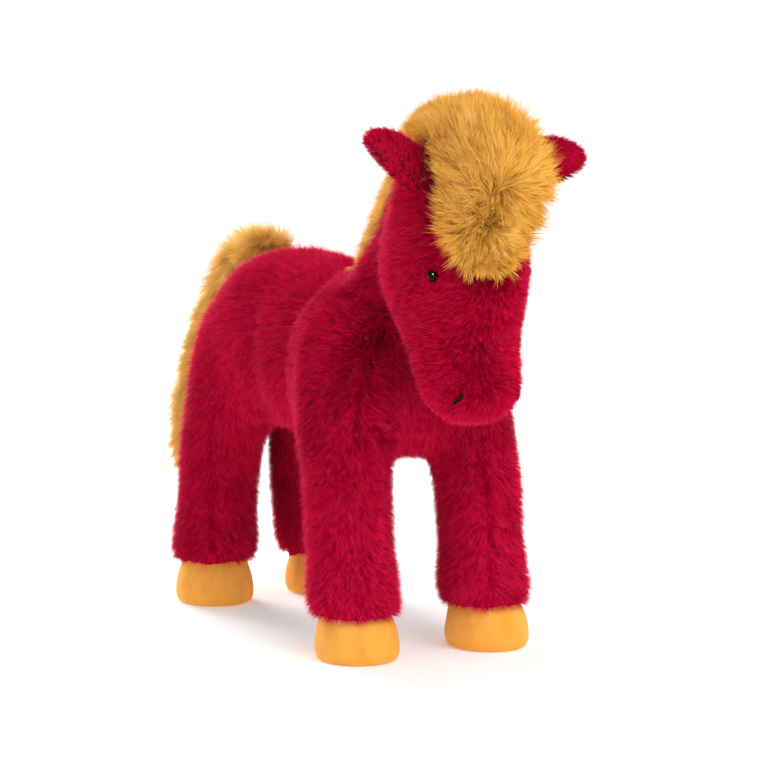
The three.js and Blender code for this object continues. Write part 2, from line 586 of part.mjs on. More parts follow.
/** The wedge that an ear sweeps as it flops both ways, from its root outwards. */
function sweepRoom({ root, along, up, front, length }) {
  const half = ear.layer + ear.cup + 2 * seam;
  const reach = length + 2 * seam;
  const spread = reach * Math.tan(THREE.MathUtils.degToRad(ear.sweepDegrees));
  const thick = ear.layer + 2 * seam;
  const outline = [[0, -thick], [reach, -spread - ear.layer], [reach, spread + half], [0, thick]];
  const shape = new THREE.Shape(outline.map(([x, y]) => new THREE.Vector2(x, y)));
  const tall = ear.rootHalf + 2 * seam;
  const geometry = new THREE.ExtrudeGeometry(shape, { depth: 2 * tall, bevelEnabled: false });
  geometry.translate(0, 0, -tall);
  geometry.applyMatrix4(new THREE.Matrix4().makeBasis(along, front, up)).translate(root.x, root.y, root.z);
  return solidOf(geometry);
}
let earRoom; // what the ears sweep as they flop
for (const [sideName, side, which] of [["left", 1, earLeft], ["right", -1, earRight]]) {
  const frame = earFrame(side, which);
  add(`ear_${sideName}_front_layer`, leaf(frame, seam / 2, ear.layer), crimson);
  add(`ear_${sideName}_back_layer`, leaf(frame, -ear.layer, -seam / 2), crimson);
  const roll = bar(ear.rollRadius, frame.root, frame.up, -ear.rootHalf - seam, ear.rootHalf + seam);
  headSkin = headSkin.subtract(roll).subtract(sweepRoom(frame));
  headFill = headFill.subtract(bar(ear.rollRadius + seam, frame.root, frame.up, -ear.rootHalf, ear.rootHalf));
  const room = sweepRoom(frame).add(roll);
  earRoom = earRoom ? earRoom.add(room) : room;
}
const headSides = largest(headSkin).subtract(facePrism(seam));
add("face_gusset", headSkin.intersect(facePrism(0)), crimson);
add("head_left_panel", headSides.intersect(leftOf(seam / 2)), crimson);
add("head_right_panel", headSides.subtract(leftOf(-seam / 2)), crimson);
add("head_stuffing", headFill, white);
for (const [name, solid, finish] of trims) add(name, solid, finish);

// Forelock and mane, their pile as one soft mass each
const forelockStations = forelockShares.map((s) => ({
  at: point(s.x * head.width, crown.y + s.y * head.depth, crown.z + s.z * head.drop),
  across: s.across * forelock.width,
  deep: s.deep * forelock.thick,
}));
const forelockDomes = [forelock.backDome, forelock.frontDome];
const forelockAt = (grow) => stuffed(forelockStations, { domes: forelockDomes, grow });
add("forelock", forelockAt(0).subtract(headClear).subtract(bodyClear).subtract(earRoom), gold);
const maneBulk = stuffed(
  maneShares.map((s) => ({
    at: point(0, neckRoot.y + s.y * neck.reach, neckRoot.z + s.z * neck.lift),
    across: s.across * mane.width,
    deep: s.deep * mane.thick,
  })),
  { domes: [mane.lowDome, mane.highDome], facets: slim });
const maneRoom = headClear.add(bodyClear).add(forelockAt(seam)).add(earRoom);
add("mane", maneBulk.subtract(maneRoom), gold);

// Tail: a dock that folds up on the rump seam, and the long switch that swings on the dock
const dockEnd = tailHinge.y + tail.dockLength;
const swingAxis = point(0, 1, 0);
const swingAt = point(0, dockEnd, barrel.middleZ + tail.swingAboveMiddle);
const dockTongue = stuffed(
  dockShares.map((s) => ({
    at: point(0, tailHinge.y + s.along * tail.dockLength, tailHinge.z + s.rise * tail.dockThick),
    across: s.across * tail.dockWidth,
    deep: s.deep * tail.dockThick,
  })),
  { domes: [tail.hingeRadius / 2, tail.hingeRadius], facets: slim });
const dock = dockTongue
  .intersect(frontOf(dockEnd))
  .add(bar(tail.hingeRadius, tailHinge, hingeAxis, -tail.hingeHalf, tail.hingeHalf))
  .add(bar(tail.stubRadius, swingAt, swingAxis, -tail.stubLength, tail.stubLength));
add("tail_dock", dock.subtract(bodyClear.subtract(
  bar(tail.hingeRadius + seam, tailHinge, hingeAxis, -tail.hingeHalf - seam, tail.hingeHalf + seam))), gold);
const switchBulk = stuffed(
  switchShares.map((s) => ({
    at: point(s.lean * tail.lean, dockEnd + s.back * tail.depth, swingAt.z - s.down * tail.drop),
    across: s.across * tail.width,
    deep: s.deep * tail.depth,
  })),
  { domes: [tail.topDome, tail.tipDome] });
add("tail_switch", switchBulk
  .subtract(frontOf(dockEnd + seam))
  .subtract(bar(tail.stubRadius + seam, swingAt, swingAxis, -overrun, tail.stubLength + seam)), gold);

// The origin lies on the floor under the middle of the whole horse
group.updateMatrixWorld(true);
const bounds = new THREE.Box3().setFromObject(group);
group.position.set(-(bounds.min.x + bounds.max.x) / 2, -(bounds.min.y + bounds.max.y) / 2, 0);

export default group;
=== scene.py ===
"""Dresses the standing plush horse: padded coat with short pile, gold long pile, suede hooves, bead eyes.

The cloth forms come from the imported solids, so they stay where the frame has them. Every pile is a mesh
of narrow tapering ribbons that are rooted on those forms, combed along the cloth and gathered into tufts.
"""

from __future__ import annotations

import json
import logging
import math
from collections.abc import Callable, Iterator, Sequence
from contextlib import contextmanager
from dataclasses import dataclass, field, replace
from enum import Enum

import bmesh
import bpy
import numpy as np
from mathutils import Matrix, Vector
from mathutils.bvhtree import BVHTree
from mathutils.kdtree import KDTree

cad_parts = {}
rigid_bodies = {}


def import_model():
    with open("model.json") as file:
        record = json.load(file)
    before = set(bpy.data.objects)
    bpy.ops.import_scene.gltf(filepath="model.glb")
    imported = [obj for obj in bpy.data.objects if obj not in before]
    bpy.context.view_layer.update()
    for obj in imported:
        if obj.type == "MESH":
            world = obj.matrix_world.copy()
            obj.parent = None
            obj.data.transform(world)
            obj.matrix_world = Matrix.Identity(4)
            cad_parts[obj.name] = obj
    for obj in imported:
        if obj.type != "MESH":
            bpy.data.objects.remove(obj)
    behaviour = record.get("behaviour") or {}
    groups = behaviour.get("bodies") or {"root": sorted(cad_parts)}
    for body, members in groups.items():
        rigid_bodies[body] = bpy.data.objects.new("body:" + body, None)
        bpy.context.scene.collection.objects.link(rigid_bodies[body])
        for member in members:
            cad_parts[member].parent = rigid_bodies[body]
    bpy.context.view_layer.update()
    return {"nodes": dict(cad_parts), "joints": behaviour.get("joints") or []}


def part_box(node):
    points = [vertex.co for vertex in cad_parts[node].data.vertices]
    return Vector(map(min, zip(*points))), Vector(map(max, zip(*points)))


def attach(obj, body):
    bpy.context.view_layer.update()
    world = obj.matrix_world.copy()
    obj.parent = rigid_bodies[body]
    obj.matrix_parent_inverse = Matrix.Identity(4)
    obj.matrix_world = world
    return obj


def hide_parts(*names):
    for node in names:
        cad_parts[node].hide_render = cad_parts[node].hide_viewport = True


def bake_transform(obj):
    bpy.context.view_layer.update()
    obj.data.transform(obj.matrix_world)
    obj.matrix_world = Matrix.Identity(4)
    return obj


for startup_object in list(bpy.data.objects):
    bpy.data.objects.remove(startup_object)
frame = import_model()

log = logging.getLogger("plush_horse")

# Lengths are in metres. MIDDLE is where the plane that halves the horse crosses the x axis.
MM = 0.001
MIDDLE = -3.15 * MM
PHOTO_SIDE = 758
PIXELS_OF_FOCAL_LENGTH = 3121.6
SENSOR_MM = 36.0

# Slow changes over space are sums of a few waves, and roots step evenly over each face.
DRIFT_WAVES = 6
DRIFT_LENGTHS = (0.7, 1.6)
EVEN_STEPS = (0.7548776662, 0.5698402910)

# A ribbon's tone runs across the pile's map and its height upwards.
PILE_MAP = "OFBake"
MAP_START, MAP_SPAN, MAP_EDGE = (0.03, 0.02), (0.94, 0.96), 0.012
RIBBON_TAPER = 0.35
MOST_RIBBON_FACES = 190_000
AWAY_MARKS = ("away_x", "away_y", "away_z")
PULL_MARKS = ("parted", "line", *AWAY_MARKS)
COAT_MARKS = ("panel_gap", "seam_gap", "parted", "feature_gap")
LEGS = ("front_left", "front_right", "hind_left", "hind_right")


class Slot(Enum):
    """Material slots of the record."""

    COAT = "fur_crimson"
    GOLD = "pile_gold"
    SUEDE = "suede_orange"
    BEAD = "bead_black"
    NYLON = "washer_nylon"
    THREAD = "thread_black"


class Body(Enum):
    """Bodies of the frame that pieces ride on."""

    HORSE = "horse"
    LEFT_EAR = "left_ear"
    RIGHT_EAR = "right_ear"
    DOCK = "dock"
    SWITCH = "switch"


class Region(Enum):
    """Parts of the coat, numbered as their faces are marked."""

    TORSO = 0
    HEAD = 1
    FRONT_LEFT = 2
    FRONT_RIGHT = 3
    HIND_LEFT = 4
    HIND_RIGHT = 5


REGION_PANELS = {
    Region.TORSO: ("torso_left_panel", "torso_right_panel", "chest_gusset", "belly_gusset"),
    Region.HEAD: ("head_left_panel", "head_right_panel", "face_gusset"),
    **{Region[leg.upper()]: (f"{leg}_leg_outer_panel", f"{leg}_leg_inner_panel") for leg in LEGS},
}
REGION_FILLINGS = {
    Region.TORSO: ("torso_stuffing", "neck_stuffing"),
    Region.HEAD: ("head_stuffing",),
    **{Region[leg.upper()]: (f"{leg}_leg_stuffing",) for leg in LEGS},
}


# Arrays of points and directions


def unit(vectors: np.ndarray) -> np.ndarray:
    """Returns the vectors with length one, along the last axis."""
    return vectors / np.maximum(np.linalg.norm(vectors, axis=-1, keepdims=True), 1e-12)


def across(a: np.ndarray, b: np.ndarray) -> np.ndarray:
    """Returns the unit vectors square to a and b."""
    return unit(np.cross(a, b))


def turned(vectors: np.ndarray, axes: np.ndarray, angles: np.ndarray) -> np.ndarray:
    """Turns vectors that are square to their axes.

    Args:
        vectors: Unit vectors, one per row.
        axes: Unit axes, one per row and square to the vectors.
        angles: Angles in radians, one per row.

    Returns:
        The turned vectors.
    """
    return vectors * np.cos(angles)[:, None] + np.cross(axes, vectors) * np.sin(angles)[:, None]


def bell(values: np.ndarray, width: float) -> np.ndarray:
    """Returns 1 where the values are 0, falling to both sides over this width."""
    return np.exp(-((values / width) ** 2))


def smooth_step(low: float, high: float, values: np.ndarray) -> np.ndarray:
    """Returns 0 below low, 1 above high and an even rise between them."""
    share = np.clip((values - low) / (high - low), 0, 1)
    return share * share * (3 - 2 * share)


def drifts(places: np.ndarray, wave: float, seed: int) -> np.ndarray:
    """Slow random change over space, for colour and comb that vary over a few centimetres.

    Args:
        places: Points in metres.
        wave: Rough size of one patch in metres.
        seed: Chooses the pattern.

    Returns:
        One value per point, about -1 to 1.
    """
    rng = np.random.default_rng(seed)
    total = np.zeros(len(places))
    for _ in range(DRIFT_WAVES):
        direction = unit(rng.normal(size=3))
        length = wave * rng.uniform(*DRIFT_LENGTHS)
        total += np.sin(places @ direction * (math.tau / length) + rng.uniform(0, math.tau))
    return total / (DRIFT_WAVES / 2)


def stirred(places: np.ndarray, wave: float, seed: int) -> np.ndarray:
    """Returns a vector at each place that changes slowly over space, from three drifts."""
    return np.stack([drifts(places, wave, seed + axis) for axis in range(3)], 1)


# Meshes


def numbers_of(items: Sequence, name: str, width: int = 1, kind: type = np.float32) -> np.ndarray:
    """Reads one property of many items.

    Args:
        items: Vertices, edges, faces or other data of a mesh.
        name: The property.
        width: Count of numbers per item.
        kind: Type of the numbers.

    Returns:
        The numbers of all items in one row.
    """
    found = np.empty(len(items) * width, kind)
    items.foreach_get(name, found)
    return found


def points_of(mesh: bpy.types.Mesh) -> np.ndarray:
    """Returns the mesh's vertices as rows."""
    return numbers_of(mesh.vertices, "co", 3).reshape(-1, 3).astype(float)


def normals_of(mesh: bpy.types.Mesh) -> np.ndarray:
    """Returns the normals at the mesh's vertices as rows."""
    return numbers_of(mesh.vertex_normals, "vector", 3).reshape(-1, 3).astype(float)


def set_points(mesh: bpy.types.Mesh, places: np.ndarray) -> None:
    """Moves the mesh's vertices to these places."""
    mesh.vertices.foreach_set("co", places.astype(np.float32).ravel())
    mesh.update()


def marks_of(mesh: bpy.types.Mesh, name: str) -> np.ndarray:
    """Returns a number per vertex that was kept under this name."""
    return numbers_of(mesh.attributes[name].data, "value").astype(float)


def set_marks(mesh: bpy.types.Mesh, name: str, values: np.ndarray) -> None:
    """Keeps a number per vertex under this name."""
    kept = mesh.attributes.get(name) or mesh.attributes.new(name, "FLOAT", "POINT")
    kept.data.foreach_set("value", values.astype(np.float32))


def averaged(
    mesh: bpy.types.Mesh, values: np.ndarray, passes: int, weights: np.ndarray | float = 1.0
) -> np.ndarray:
    """Evens out one value, or one vector, per vertex over its neighbours.

    Args:
        mesh: Whose edges join the neighbours.
        values: One row per vertex.
        passes: How often.
        weights: How far each vertex goes to its neighbours' mean, from 0 to 1.

    Returns:
        The evened values.
    """
    ends = numbers_of(mesh.edges, "vertices", 2, np.int32)
    first, second = ends[0::2], ends[1::2]
    shape = (-1,) + (1,) * (values.ndim - 1)
    count = np.bincount(ends, minlength=len(values)).reshape(shape)
    weights = np.broadcast_to(weights, len(values)).reshape(shape)
    for _ in range(passes):
        total = np.zeros_like(values)
        np.add.at(total, first, values[second])
        np.add.at(total, second, values[first])
        values = values + weights * (total / count - values)
    return values


def merged_nodes(names: Sequence[str]) -> bmesh.types.BMesh:
    """Returns a copy of these nodes' solids with their loose triangles joined."""
    solid = bmesh.new()
    for name in names:
        solid.from_mesh(frame["nodes"][name].data)
    bmesh.ops.remove_doubles(solid, verts=solid.verts, dist=0.01 * MM)
    return solid


def tree_of(names: Sequence[str]) -> BVHTree:
    """Returns a search tree over these nodes' surfaces."""
    solid = merged_nodes(names)
    tree = BVHTree.FromBMesh(solid)
    solid.free()
    return tree


def tree_over(mesh: bpy.types.Mesh) -> BVHTree:
    """Returns a search tree over the mesh's surface."""
    return BVHTree.FromPolygons([v.co for v in mesh.vertices], [tuple(p.vertices) for p in mesh.polygons])


@contextmanager
def edited(mesh: bpy.types.Mesh) -> Iterator[bmesh.types.BMesh]:
    """Opens a mesh for operators and writes it back after them."""
    form = bmesh.new()
    form.from_mesh(mesh)
    yield form
    form.to_mesh(mesh)
    form.free()


def new_object(name: str, data: bpy.types.ID) -> bpy.types.Object:
    """Returns a new object at the origin, linked to the scene."""
    made = bpy.data.objects.new(name, data)
    bpy.context.scene.collection.objects.link(made)
    return made


def object_from(name: str, form: bmesh.types.BMesh) -> bpy.types.Object:
    """Returns a smooth object made of the form, which is freed."""
    for face in form.faces:
        face.smooth = True
    mesh = bpy.data.meshes.new(name)
    form.to_mesh(mesh)
    form.free()
    return new_object(name, mesh)


def apply_modifiers(piece: bpy.types.Object) -> None:
    """Replaces the piece's mesh by what its modifiers make of it."""
    depsgraph = bpy.context.evaluated_depsgraph_get()
    finished = bpy.data.meshes.new_from_object(piece.evaluated_get(depsgraph))
    was = piece.data
    piece.modifiers.clear()
    piece.data = finished
    bpy.data.meshes.remove(was)
    finished.name = piece.name


def extruded(
    form: bmesh.types.BMesh, edges: Sequence[bmesh.types.BMEdge]
) -> tuple[list[bmesh.types.BMVert], list[bmesh.types.BMEdge]]:
    """Extrudes edges and returns the new vertices and the new edges between them."""
    made = bmesh.ops.extrude_edge_only(form, edges=edges)["geom"]
    verts = [g for g in made if isinstance(g, bmesh.types.BMVert)]
    fresh = set(verts)
    return verts, [g for g in made if isinstance(g, bmesh.types.BMEdge) and fresh.issuperset(g.verts)]


def subdivide(piece: bpy.types.Object) -> None:
    """Rounds the piece with a subdivision surface and applies it."""
    finer = piece.modifiers.new("rounding", "SUBSURF")
    finer.levels = finer.render_levels = 1
    apply_modifiers(piece)


def keep_largest(piece: bpy.types.Object) -> None:
    """Deletes every island of the piece but the one with most vertices."""
    with edited(piece.data) as form:
        unseen = set(form.verts)
        islands: list[set[bmesh.types.BMVert]] = []
        while unseen:
            waiting = [unseen.pop()]
            island = set(waiting)
            while waiting:
                for edge in waiting.pop().link_edges:
                    for other in edge.verts:
                        if other in unseen:
                            unseen.discard(other)
                            island.add(other)
                            waiting.append(other)
            islands.append(island)
        largest = max(islands, key=len)
        lost = [v for island in islands if island is not largest for v in island]
        bmesh.ops.delete(form, geom=lost, context="VERTS")
        bmesh.ops.recalc_face_normals(form, faces=form.faces)


def cloth_form(name: str, nodes: Sequence[str], voxel: float, passes: int) -> bpy.types.Object:
    """Makes one closed skin round some solids, with even square faces.

    Args:
        name: Name of the new object.
        nodes: Nodes that the skin goes round.
        voxel: Size of the skin's faces in metres.
        passes: How often the skin is smoothed.

    Returns:
        The skin as an object at the origin.
    """
    piece = object_from(name, merged_nodes(nodes))
    remesh = piece.modifiers.new("skin", "REMESH")
    remesh.mode = "VOXEL"
    remesh.voxel_size = voxel
    remesh.use_smooth_shade = True
    apply_modifiers(piece)
    keep_largest(piece)
    axes = {"use_axis_x": True, "use_axis_y": True, "use_axis_z": True}
    with edited(piece.data) as form:
        for _ in range(passes):
            bmesh.ops.smooth_vert(form, verts=form.verts, factor=0.5, **axes)
    piece.data.shade_smooth()
    return piece


def dress(
    piece: bpy.types.Object,
    material: bpy.types.Material,
    body: Body | None,
    stands_for: Sequence[str] = (),
) -> None:
    """Gives a piece its finish and its body, and hides the nodes that it stands for.

    Args:
        piece: The finished piece.
        material: Its only material.
        body: Body that it rides on, or None to leave it on no body, as for a piece that spans two bodies.
        stands_for: Nodes that it replaces.
    """
    piece.data.materials.clear()
    piece.data.materials.append(material)
    if body is not None:
        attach(piece, body.value)
    if stands_for:
        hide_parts(*stands_for)
    log.info("%s: %d faces", piece.name, len(piece.data.polygons))


# Finishes


Colour = tuple[float, float, float]
Stops = tuple[tuple[float, Colour], ...]
BLACK: Colour = (0.0, 0.0, 0.0)
WHITE: Colour = (1.0, 1.0, 1.0)


class Shader:
    """A material's node tree, with short calls that add nodes and link them."""

    def __init__(self, name: str) -> None:
        """Starts a material with its Principled shader."""
        self.material = bpy.data.materials.new(name)
        self.material.use_nodes = True
        self.tree = self.material.node_tree
        self.surface = next(n for n in self.tree.nodes if n.type == "BSDF_PRINCIPLED")

    def node(self, kind: str, **settings: object) -> bpy.types.Node:
        """Adds a node with these settings and returns it."""
        made = self.tree.nodes.new(kind)
        for name, value in settings.items():
            setattr(made, name, value)
        return made

    def link(self, source: bpy.types.NodeSocket, target: bpy.types.NodeSocket) -> None:
        """Links an output to an input."""
        self.tree.links.new(source, target)

    def fix(self, **values: object) -> None:
        """Sets the shader's own sockets, named with _ for each space."""
        for name, value in values.items():
            self.surface.inputs[name.replace("_", " ")].default_value = value

    def places(self) -> bpy.types.NodeSocket:
        """Returns Object coordinates, in metres."""
        return self.node("ShaderNodeTexCoord").outputs["Object"]

    def noise(self, vector: bpy.types.NodeSocket, scale: float, detail: float) -> bpy.types.NodeSocket:
        """Returns a cloud pattern of this scale and detail."""
        made = self.node("ShaderNodeTexNoise")
        made.inputs["Scale"].default_value = scale
        made.inputs["Detail"].default_value = detail
        self.link(vector, made.inputs["Vector"])
        return made.outputs["Fac"]

    def ramp(self, source: bpy.types.NodeSocket, stops: Stops) -> bpy.types.NodeSocket:
        """Returns the colours of these stops where source has their values."""
        made = self.node("ShaderNodeValToRGB")
        bar = made.color_ramp
        while len(bar.elements) < len(stops):
            bar.elements.new(1.0)
        for element, (position, colour) in zip(bar.elements, stops, strict=True):
            element.position = position
            element.color = (*colour, 1.0)
        self.link(source, made.inputs["Fac"])
        return made.outputs["Color"]

    def mixed(
        self, way: str, first: bpy.types.NodeSocket, second: bpy.types.NodeSocket
    ) -> bpy.types.NodeSocket:
        """Returns two colours mixed in full in one of the Mix node's ways."""
        made = self.node("ShaderNodeMix", data_type="RGBA", blend_type=way)
        made.inputs[0].default_value = 1.0
        self.link(first, made.inputs[6])
        self.link(second, made.inputs[7])
        return made.outputs[2]

    def bump(self, height: bpy.types.NodeSocket, strength: float, distance: float) -> None:
        """Raises the surface by a pattern, up to this distance in metres."""
        made = self.node("ShaderNodeBump")
        made.inputs["Strength"].default_value = strength
        made.inputs["Distance"].default_value = distance
        self.link(height, made.inputs["Height"])
        self.link(made.outputs["Normal"], self.surface.inputs["Normal"])

    def colour(self, source: bpy.types.NodeSocket) -> None:
        """Gives the surface this colour."""
        self.link(source, self.surface.inputs["Base Color"])


@dataclass(frozen=True)
class PileFinish:
    """Colour of a pile, by the ribbon's own tone and the height along it, with painted shade that darkens it
    towards the root and painted light in its tips.
    """

    name: str
    tones: Stops
    # Painted shade: this ramp darkens each ribbon towards its root.
    painted_root_shade: Stops
    # Painted light: a pale colour added towards the tips, only on lighter-toned ribbons.
    tip: Colour
    sheen: float
    sheen_tint: Colour
    specular: float
    tip_light_start: float = 0.45
    tip_light_tones: tuple[float, float] = (0.06, 0.26)
    roughness: float = 0.72
    sheen_roughness: float = 0.3

    def material(self) -> bpy.types.Material:
        """Builds the material. The pile's own map holds tone across and height upwards."""
        shader = Shader(self.name)
        own_map = shader.node("ShaderNodeUVMap", uv_map=PILE_MAP)
        parts = shader.node("ShaderNodeSeparateXYZ")
        shader.link(own_map.outputs["UV"], parts.inputs["Vector"])
        tone = shader.ramp(parts.outputs["X"], self.tones)
        # Painted shade: darker towards the root of each ribbon.
        height = shader.ramp(parts.outputs["Y"], self.painted_root_shade)
        body = shader.mixed("MULTIPLY", tone, height)
        # Painted light: pale colour added near the tips of lighter-toned ribbons.
        tip = shader.ramp(parts.outputs["Y"], ((self.tip_light_start, BLACK), (1.0, self.tip)))
        lit = shader.ramp(parts.outputs["X"], ((self.tip_light_tones[0], BLACK), (self.tip_light_tones[1], WHITE)))
        shader.colour(shader.mixed("ADD", body, shader.mixed("MULTIPLY", tip, lit)))
        shader.fix(
            Roughness=self.roughness,
            Specular_IOR_Level=self.specular,
            Sheen_Weight=self.sheen,
            Sheen_Roughness=self.sheen_roughness,
            Sheen_Tint=(*self.sheen_tint, 1.0),
        )
        return shader.material


@dataclass(frozen=True)
class BackingFinish:
    """The dense foot of a pile where it leaves its cloth: mottled, deep in colour and finely pitted."""

    name: str
    dark: Colour
    light: Colour

    def material(self) -> bpy.types.Material:
        """Builds the material from patterns in Object coordinates."""
        shader = Shader(self.name)
        places = shader.places()
        patches = shader.noise(places, 90.0, 4.0)
        shader.colour(shader.ramp(patches, ((0.3, self.dark), (0.7, self.light))))
        pits = shader.noise(places, 1400.0, 2.0)
        shader.bump(pits, 0.6, 0.8 * MM)
        shader.fix(Roughness=0.9, Specular_IOR_Level=0.0)
        return shader.material


@dataclass(frozen=True)
class SuedeFinish:
    """Orange suede cloth: brushed nap with soft lighter and darker strokes, and a fine fibrous bump."""

    name: str = "suede_nap"
    shades: Stops = (
        (0.3, (0.94, 0.37, 0.036)),
        (0.5, (1.0, 0.43, 0.048)),
        (0.72, (1.0, 0.47, 0.06)),
    )

    def material(self) -> bpy.types.Material:
        """Builds the material from patterns in Object coordinates."""
        shader = Shader(self.name)
        places = shader.places()
        strokes = shader.node("ShaderNodeMapping")
        strokes.inputs["Scale"].default_value = (1.0, 1.0, 0.55)
        strokes.inputs["Rotation"].default_value = (0.5, 0.3, 0.0)
        shader.link(places, strokes.inputs["Vector"])
        brushed = shader.noise(strokes.outputs["Vector"], 150.0, 8.0)
        fibres = shader.noise(places, 2600.0, 3.0)
        base = shader.ramp(brushed, self.shades)
        grain = shader.ramp(fibres, ((0.3, (0.86, 0.84, 0.8)), (0.7, WHITE)))
        shader.colour(shader.mixed("MULTIPLY", base, grain))
        shader.bump(fibres, 0.55, 0.25 * MM)
        shader.fix(
            Roughness=0.86,
            Specular_IOR_Level=0.12,
            Sheen_Weight=0.35,
            Sheen_Roughness=0.5,
            Sheen_Tint=(1.0, 0.78, 0.5, 1.0),
        )
        return shader.material


@dataclass(frozen=True)
class BeadFinish:
    """Polished black plastic with a faint brown depth."""

    name: str = "bead_gloss"
    shades: Stops = ((0.35, (0.002, 0.0016, 0.0014)), (0.7, (0.006, 0.0045, 0.0035)))

    def material(self) -> bpy.types.Material:
        """Builds the material: black and polished, with a trace of moulding haze."""
        shader = Shader(self.name)
        haze = shader.noise(shader.places(), 300.0, 2.0)
        shader.colour(shader.ramp(haze, self.shades))
        shader.fix(Roughness=0.04, IOR=1.17)
        return shader.material


@dataclass(frozen=True)
class ThreadFinish:
    """Dark embroidery thread, twisted, with a faint gloss."""

    name: str = "thread_satin"
    shades: Stops = ((0.0, (0.003, 0.001, 0.0015)), (1.0, (0.014, 0.004, 0.005)))

    def material(self) -> bpy.types.Material:
        """Builds the material from a fine twist in Object coordinates."""
        shader = Shader(self.name)
        twist = shader.node("ShaderNodeTexWave", bands_direction="DIAGONAL")
        twist.inputs["Scale"].default_value = 900.0
        twist.inputs["Distortion"].default_value = 1.5
        shader.link(shader.places(), twist.inputs["Vector"])
        shader.colour(shader.ramp(twist.outputs["Fac"], self.shades))
        shader.bump(twist.outputs["Fac"], 0.5, 0.08 * MM)
        shader.fix(Roughness=0.7, Specular_IOR_Level=0.03)
        return shader.material


@dataclass(frozen=True)
class NylonFinish:
    """Moulded washer nylon, milky and slightly uneven."""

    name: str = "washer_moulded"
    shades: Stops = ((0.3, (0.68, 0.66, 0.61)), (0.7, (0.78, 0.77, 0.73)))

    def material(self) -> bpy.types.Material:
        """Builds the material from clouds in Object coordinates."""
        shader = Shader(self.name)
        cloud = shader.noise(shader.places(), 220.0, 3.0)
        shader.colour(shader.ramp(cloud, self.shades))
        shader.bump(cloud, 0.2, 0.1 * MM)
        shader.fix(Roughness=0.42)
        return shader.material


COAT_PILE = PileFinish(
    name="coat_pile",
    tones=(
        (0.0, (0.1, 0.0, 0.003)),
        (0.2, (0.34, 0.0, 0.014)),
        (0.35, (0.54, 0.0, 0.026)),
        (0.65, (0.7, 0.0, 0.044)),
        (1.0, (0.92, 0.01, 0.09)),
    ),
    # Painted shade: the crimson pile is darker towards its roots.
    painted_root_shade=((0.0, (0.55, 0.45, 0.5)), (0.4, (0.86, 0.84, 0.84)), (0.8, WHITE), (1.0, WHITE)),
    # Painted light: pale pink added to the tips of the crimson pile.
    tip=(0.2, 0.02, 0.05),
    sheen=1.0,
    sheen_tint=(1.0, 0.17, 0.27),
    specular=0.0,
)
GOLD_PILE = PileFinish(
    name="gold_pile",
    tones=(
        (0.0, (0.38, 0.17, 0.014)),
        (0.35, (0.74, 0.345, 0.036)),
        (0.65, (0.89, 0.47, 0.062)),
        (1.0, (1.0, 0.66, 0.17)),
    ),
    # Painted shade: the gold pile is darker towards its roots.
    painted_root_shade=((0.0, (0.78, 0.7, 0.56)), (0.35, (0.88, 0.86, 0.82)), (0.7, WHITE), (1.0, WHITE)),
    # Painted light: pale gold added to the tips of the gold pile.
    tip=(0.1, 0.07, 0.03),
    sheen=0.35,
    sheen_tint=(1.0, 0.68, 0.32),
    specular=0.05,
)
COAT_BACKING = BackingFinish("coat_backing", (0.4, 0.0, 0.02), (0.54, 0.0, 0.03))
GOLD_BACKING = BackingFinish("gold_backing", (0.5, 0.22, 0.03), (0.66, 0.31, 0.045))


# Pile


@dataclass(frozen=True)
class Cut:
    """How a pile is cut and brushed. Lengths are in metres, angles in degrees, density per square metre.

    Top, from 0 to 1, is how far its tips reach up the finish's range of height, from the painted shade at
    the roots towards the painted light at the tips, speckle how much tones differ, and standing how far the
    pile stands up, to the angle upright, where no brush laid it down.
    Sway is how much the angles of tufts and of single ribbons differ, twist how far ribbons turn about
    themselves, and rounding how much of their shading comes from the cloth below.
    """

    length: float
    rise: tuple[float, float]
    density: float
    ribbons: int
    width: float
    reach: float
    tuft: float
    stray: tuple[float, float]
    levels: int = 2
    droop: float = 0.0
    uneven: tuple[float, float] = (0.78, 1.15)
    top: float = 1.0
    speckle: float = 0.11
    standing: float = 0.85
    upright: float = 82.0
    sway: tuple[float, float] = (7.0, 5.0)
    ragged: tuple[float, float] = (0.85, 1.12)
    twist: float = 0.6
    rounding: float = 0.62


